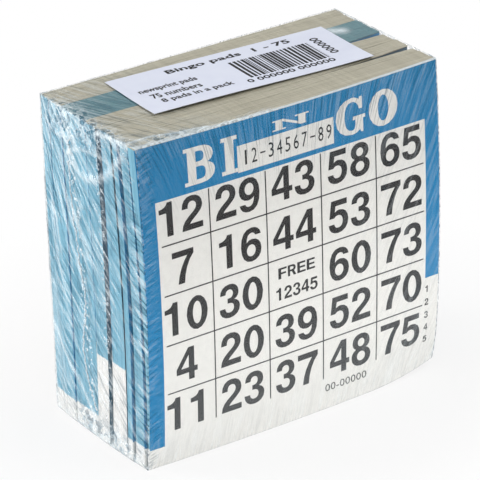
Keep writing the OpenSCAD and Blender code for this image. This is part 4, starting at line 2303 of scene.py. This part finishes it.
@dataclass
class Studio:
    """Pale floor, soft light and the camera at the photograph's angle."""

    azimuth: float = 34.44
    elevation: float = 25.97
    roll: float = 1.39
    lens: float = 240.0
    sensor: float = 36.0
    nearest: float = 0.05
    distance: float = 939.2
    aim_across: float = 2.545
    aim_down: float = 43.255
    floor_side: float = 8.0
    floor_colour: tuple[float, float, float, float] = (0.86, 0.86, 0.86, 1)
    shadow_run: Spot = (60.0, 130.0)
    shadow_glow: float = 0.82
    world_seen: float = 1.0
    world_light: float = 0.28
    lit_point: Colour = (0, 0, 0.05)
    lamps: tuple[Softbox, ...] = (
        Softbox("key", (0.36, -0.45, 0.8), 0.6, (0.22, 0.22), 0.84),
        Softbox("rear_left", (-0.72, 0.62, 0.32), 0.6, (0.25, 0.25), 2.45),
        Softbox("left_glint", (-0.97, 0.2, 0.12), 0.6, (0.05, 0.25), 0.4),
        Softbox("overhead", (0.0, -0.1, 1.0), 0.7, (0.5, 0.4), 1.0),
        Softbox("low_front", (0.1, -1.0, -0.38), 0.12, (0.3, 0.03), 0.125, mirrored=False),
    )

    def add_camera(self) -> None:
        """Adds the camera and makes it the scene's own."""
        turn, rise, roll = (math.radians(a) for a in (self.azimuth, self.elevation, self.roll))
        ahead = Vector((math.sin(turn) * math.cos(rise), math.cos(turn) * math.cos(rise), -math.sin(rise)))
        level = Vector((math.cos(turn), -math.sin(turn), 0))
        down = ahead.cross(level)
        right = math.cos(roll) * level + math.sin(roll) * down
        below = math.cos(roll) * down - math.sin(roll) * level
        place = -self.aim_across * right - self.aim_down * below - self.distance * ahead
        deselect_all()
        bpy.ops.object.camera_add()
        camera = bpy.context.object
        camera.data.lens = self.lens
        camera.data.sensor_width = self.sensor
        camera.data.clip_start = self.nearest
        axes = Matrix((right, -below, -ahead)).transposed().to_4x4()
        camera.matrix_world = Matrix.Translation(place * MM) @ axes
        bpy.context.scene.camera = camera

    def add_floor(self) -> None:
        """Adds the floor, which shows white but keeps a soft shadow."""
        deselect_all()
        bpy.ops.mesh.primitive_plane_add(size=self.floor_side)
        floor = name_piece(bpy.context.object, "floor")
        shader = Shader("floor_white")
        far = shader.add("VectorMath", {0: shader.places()}, "Value", operation="LENGTH")
        start, end = self.shadow_run
        share = shader.add("MapRange", {0: far, 1: start, 2: end, 3: self.shadow_glow, 4: 1.0})
        matte = shader.add("BsdfDiffuse", {"Color": self.floor_colour})
        glow = shader.add("Emission", {"Color": WHITE, "Strength": 1.0})
        floor.data.materials.append(shader.show(shader.mix(shader.seen() * share, matte, glow)))

    def add_world(self) -> None:
        """Adds the pale surroundings, brighter to look at than to light with."""
        shader = Shader("pale_room", "worlds")
        strength = shader.add("MapRange", {0: shader.seen(), 3: self.world_light, 4: self.world_seen})
        room = shader.add("Background", {"Color": WHITE, "Strength": strength})
        bpy.context.scene.world = shader.show(room, "OutputWorld")

    def build(self) -> None:
        """Sets the whole studio up."""
        bpy.context.scene.view_settings.view_transform = "Standard"
        self.add_camera()
        self.add_floor()
        self.add_world()
        for lamp in self.lamps:
            lamp.build(self.lit_point)


def main() -> None:
    """Builds the studio, the pads, the film, its seal and the label."""
    logging.basicConfig(level=logging.INFO, format="%(name)s %(message)s")
    Studio().build()
    stack, paper, layout, case = Stack(), Newsprint(), CardLayout(), TypeCase()
    low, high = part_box("pad_1_card")
    card = PrintedCard(paper, (high.x - low.x) / MM, stack.top - low.z / MM).material()
    plain, ink = paper.material(), Ink("number_ink").material()
    edges = {facing: CutEdges(facing).material() for facing in Facing}
    back = BlankBack(paper, stack.half_w, stack.top).material()
    # The rearmost back faces no parting, so it gets no painted shade
    outer_back = BlankBack(paper, stack.half_w, stack.top, soaked=0.0).material()
    buff = Gum(Slot.GUM_BUFF, (0.53, 0.50, 0.385), (0.32, 0.295, 0.215))
    blue = Gum(Slot.GUM_BLUE, (0.10, 0.25, 0.285), (0.03, 0.12, 0.15))
    gums = {gum: gum.material() for gum in (buff, blue)}
    for number in range(1, len(stack.spans) + 1):
        facing = Facing.BACK if number in (4, 5) else Facing.FRONT
        gum = blue if number == 3 else buff
        pad = Pad(number, facing, gum, stack, layout, case)
        pad.build_leaves(edges[facing], outer_back if number == 1 else back)
        pad.build_card(card)
        pad.build_gum(gums[gum])
        pad.build_heading(plain)
        pad.build_numbers(ink)
    film = Film(stack)
    film.build(ClearFilm(*film.corner).material())
    SealBead(film).build(MeltedFilm().material())
    label = Label(stack, case)
    label.build_paper(CoatedPaper().material())
    label.build_print(Ink("label_ink", (0.012, 0.012, 0.013), (0.02, 0.02, 0.02)).material())
    case.clear()


if __name__ == "__main__":
    main()
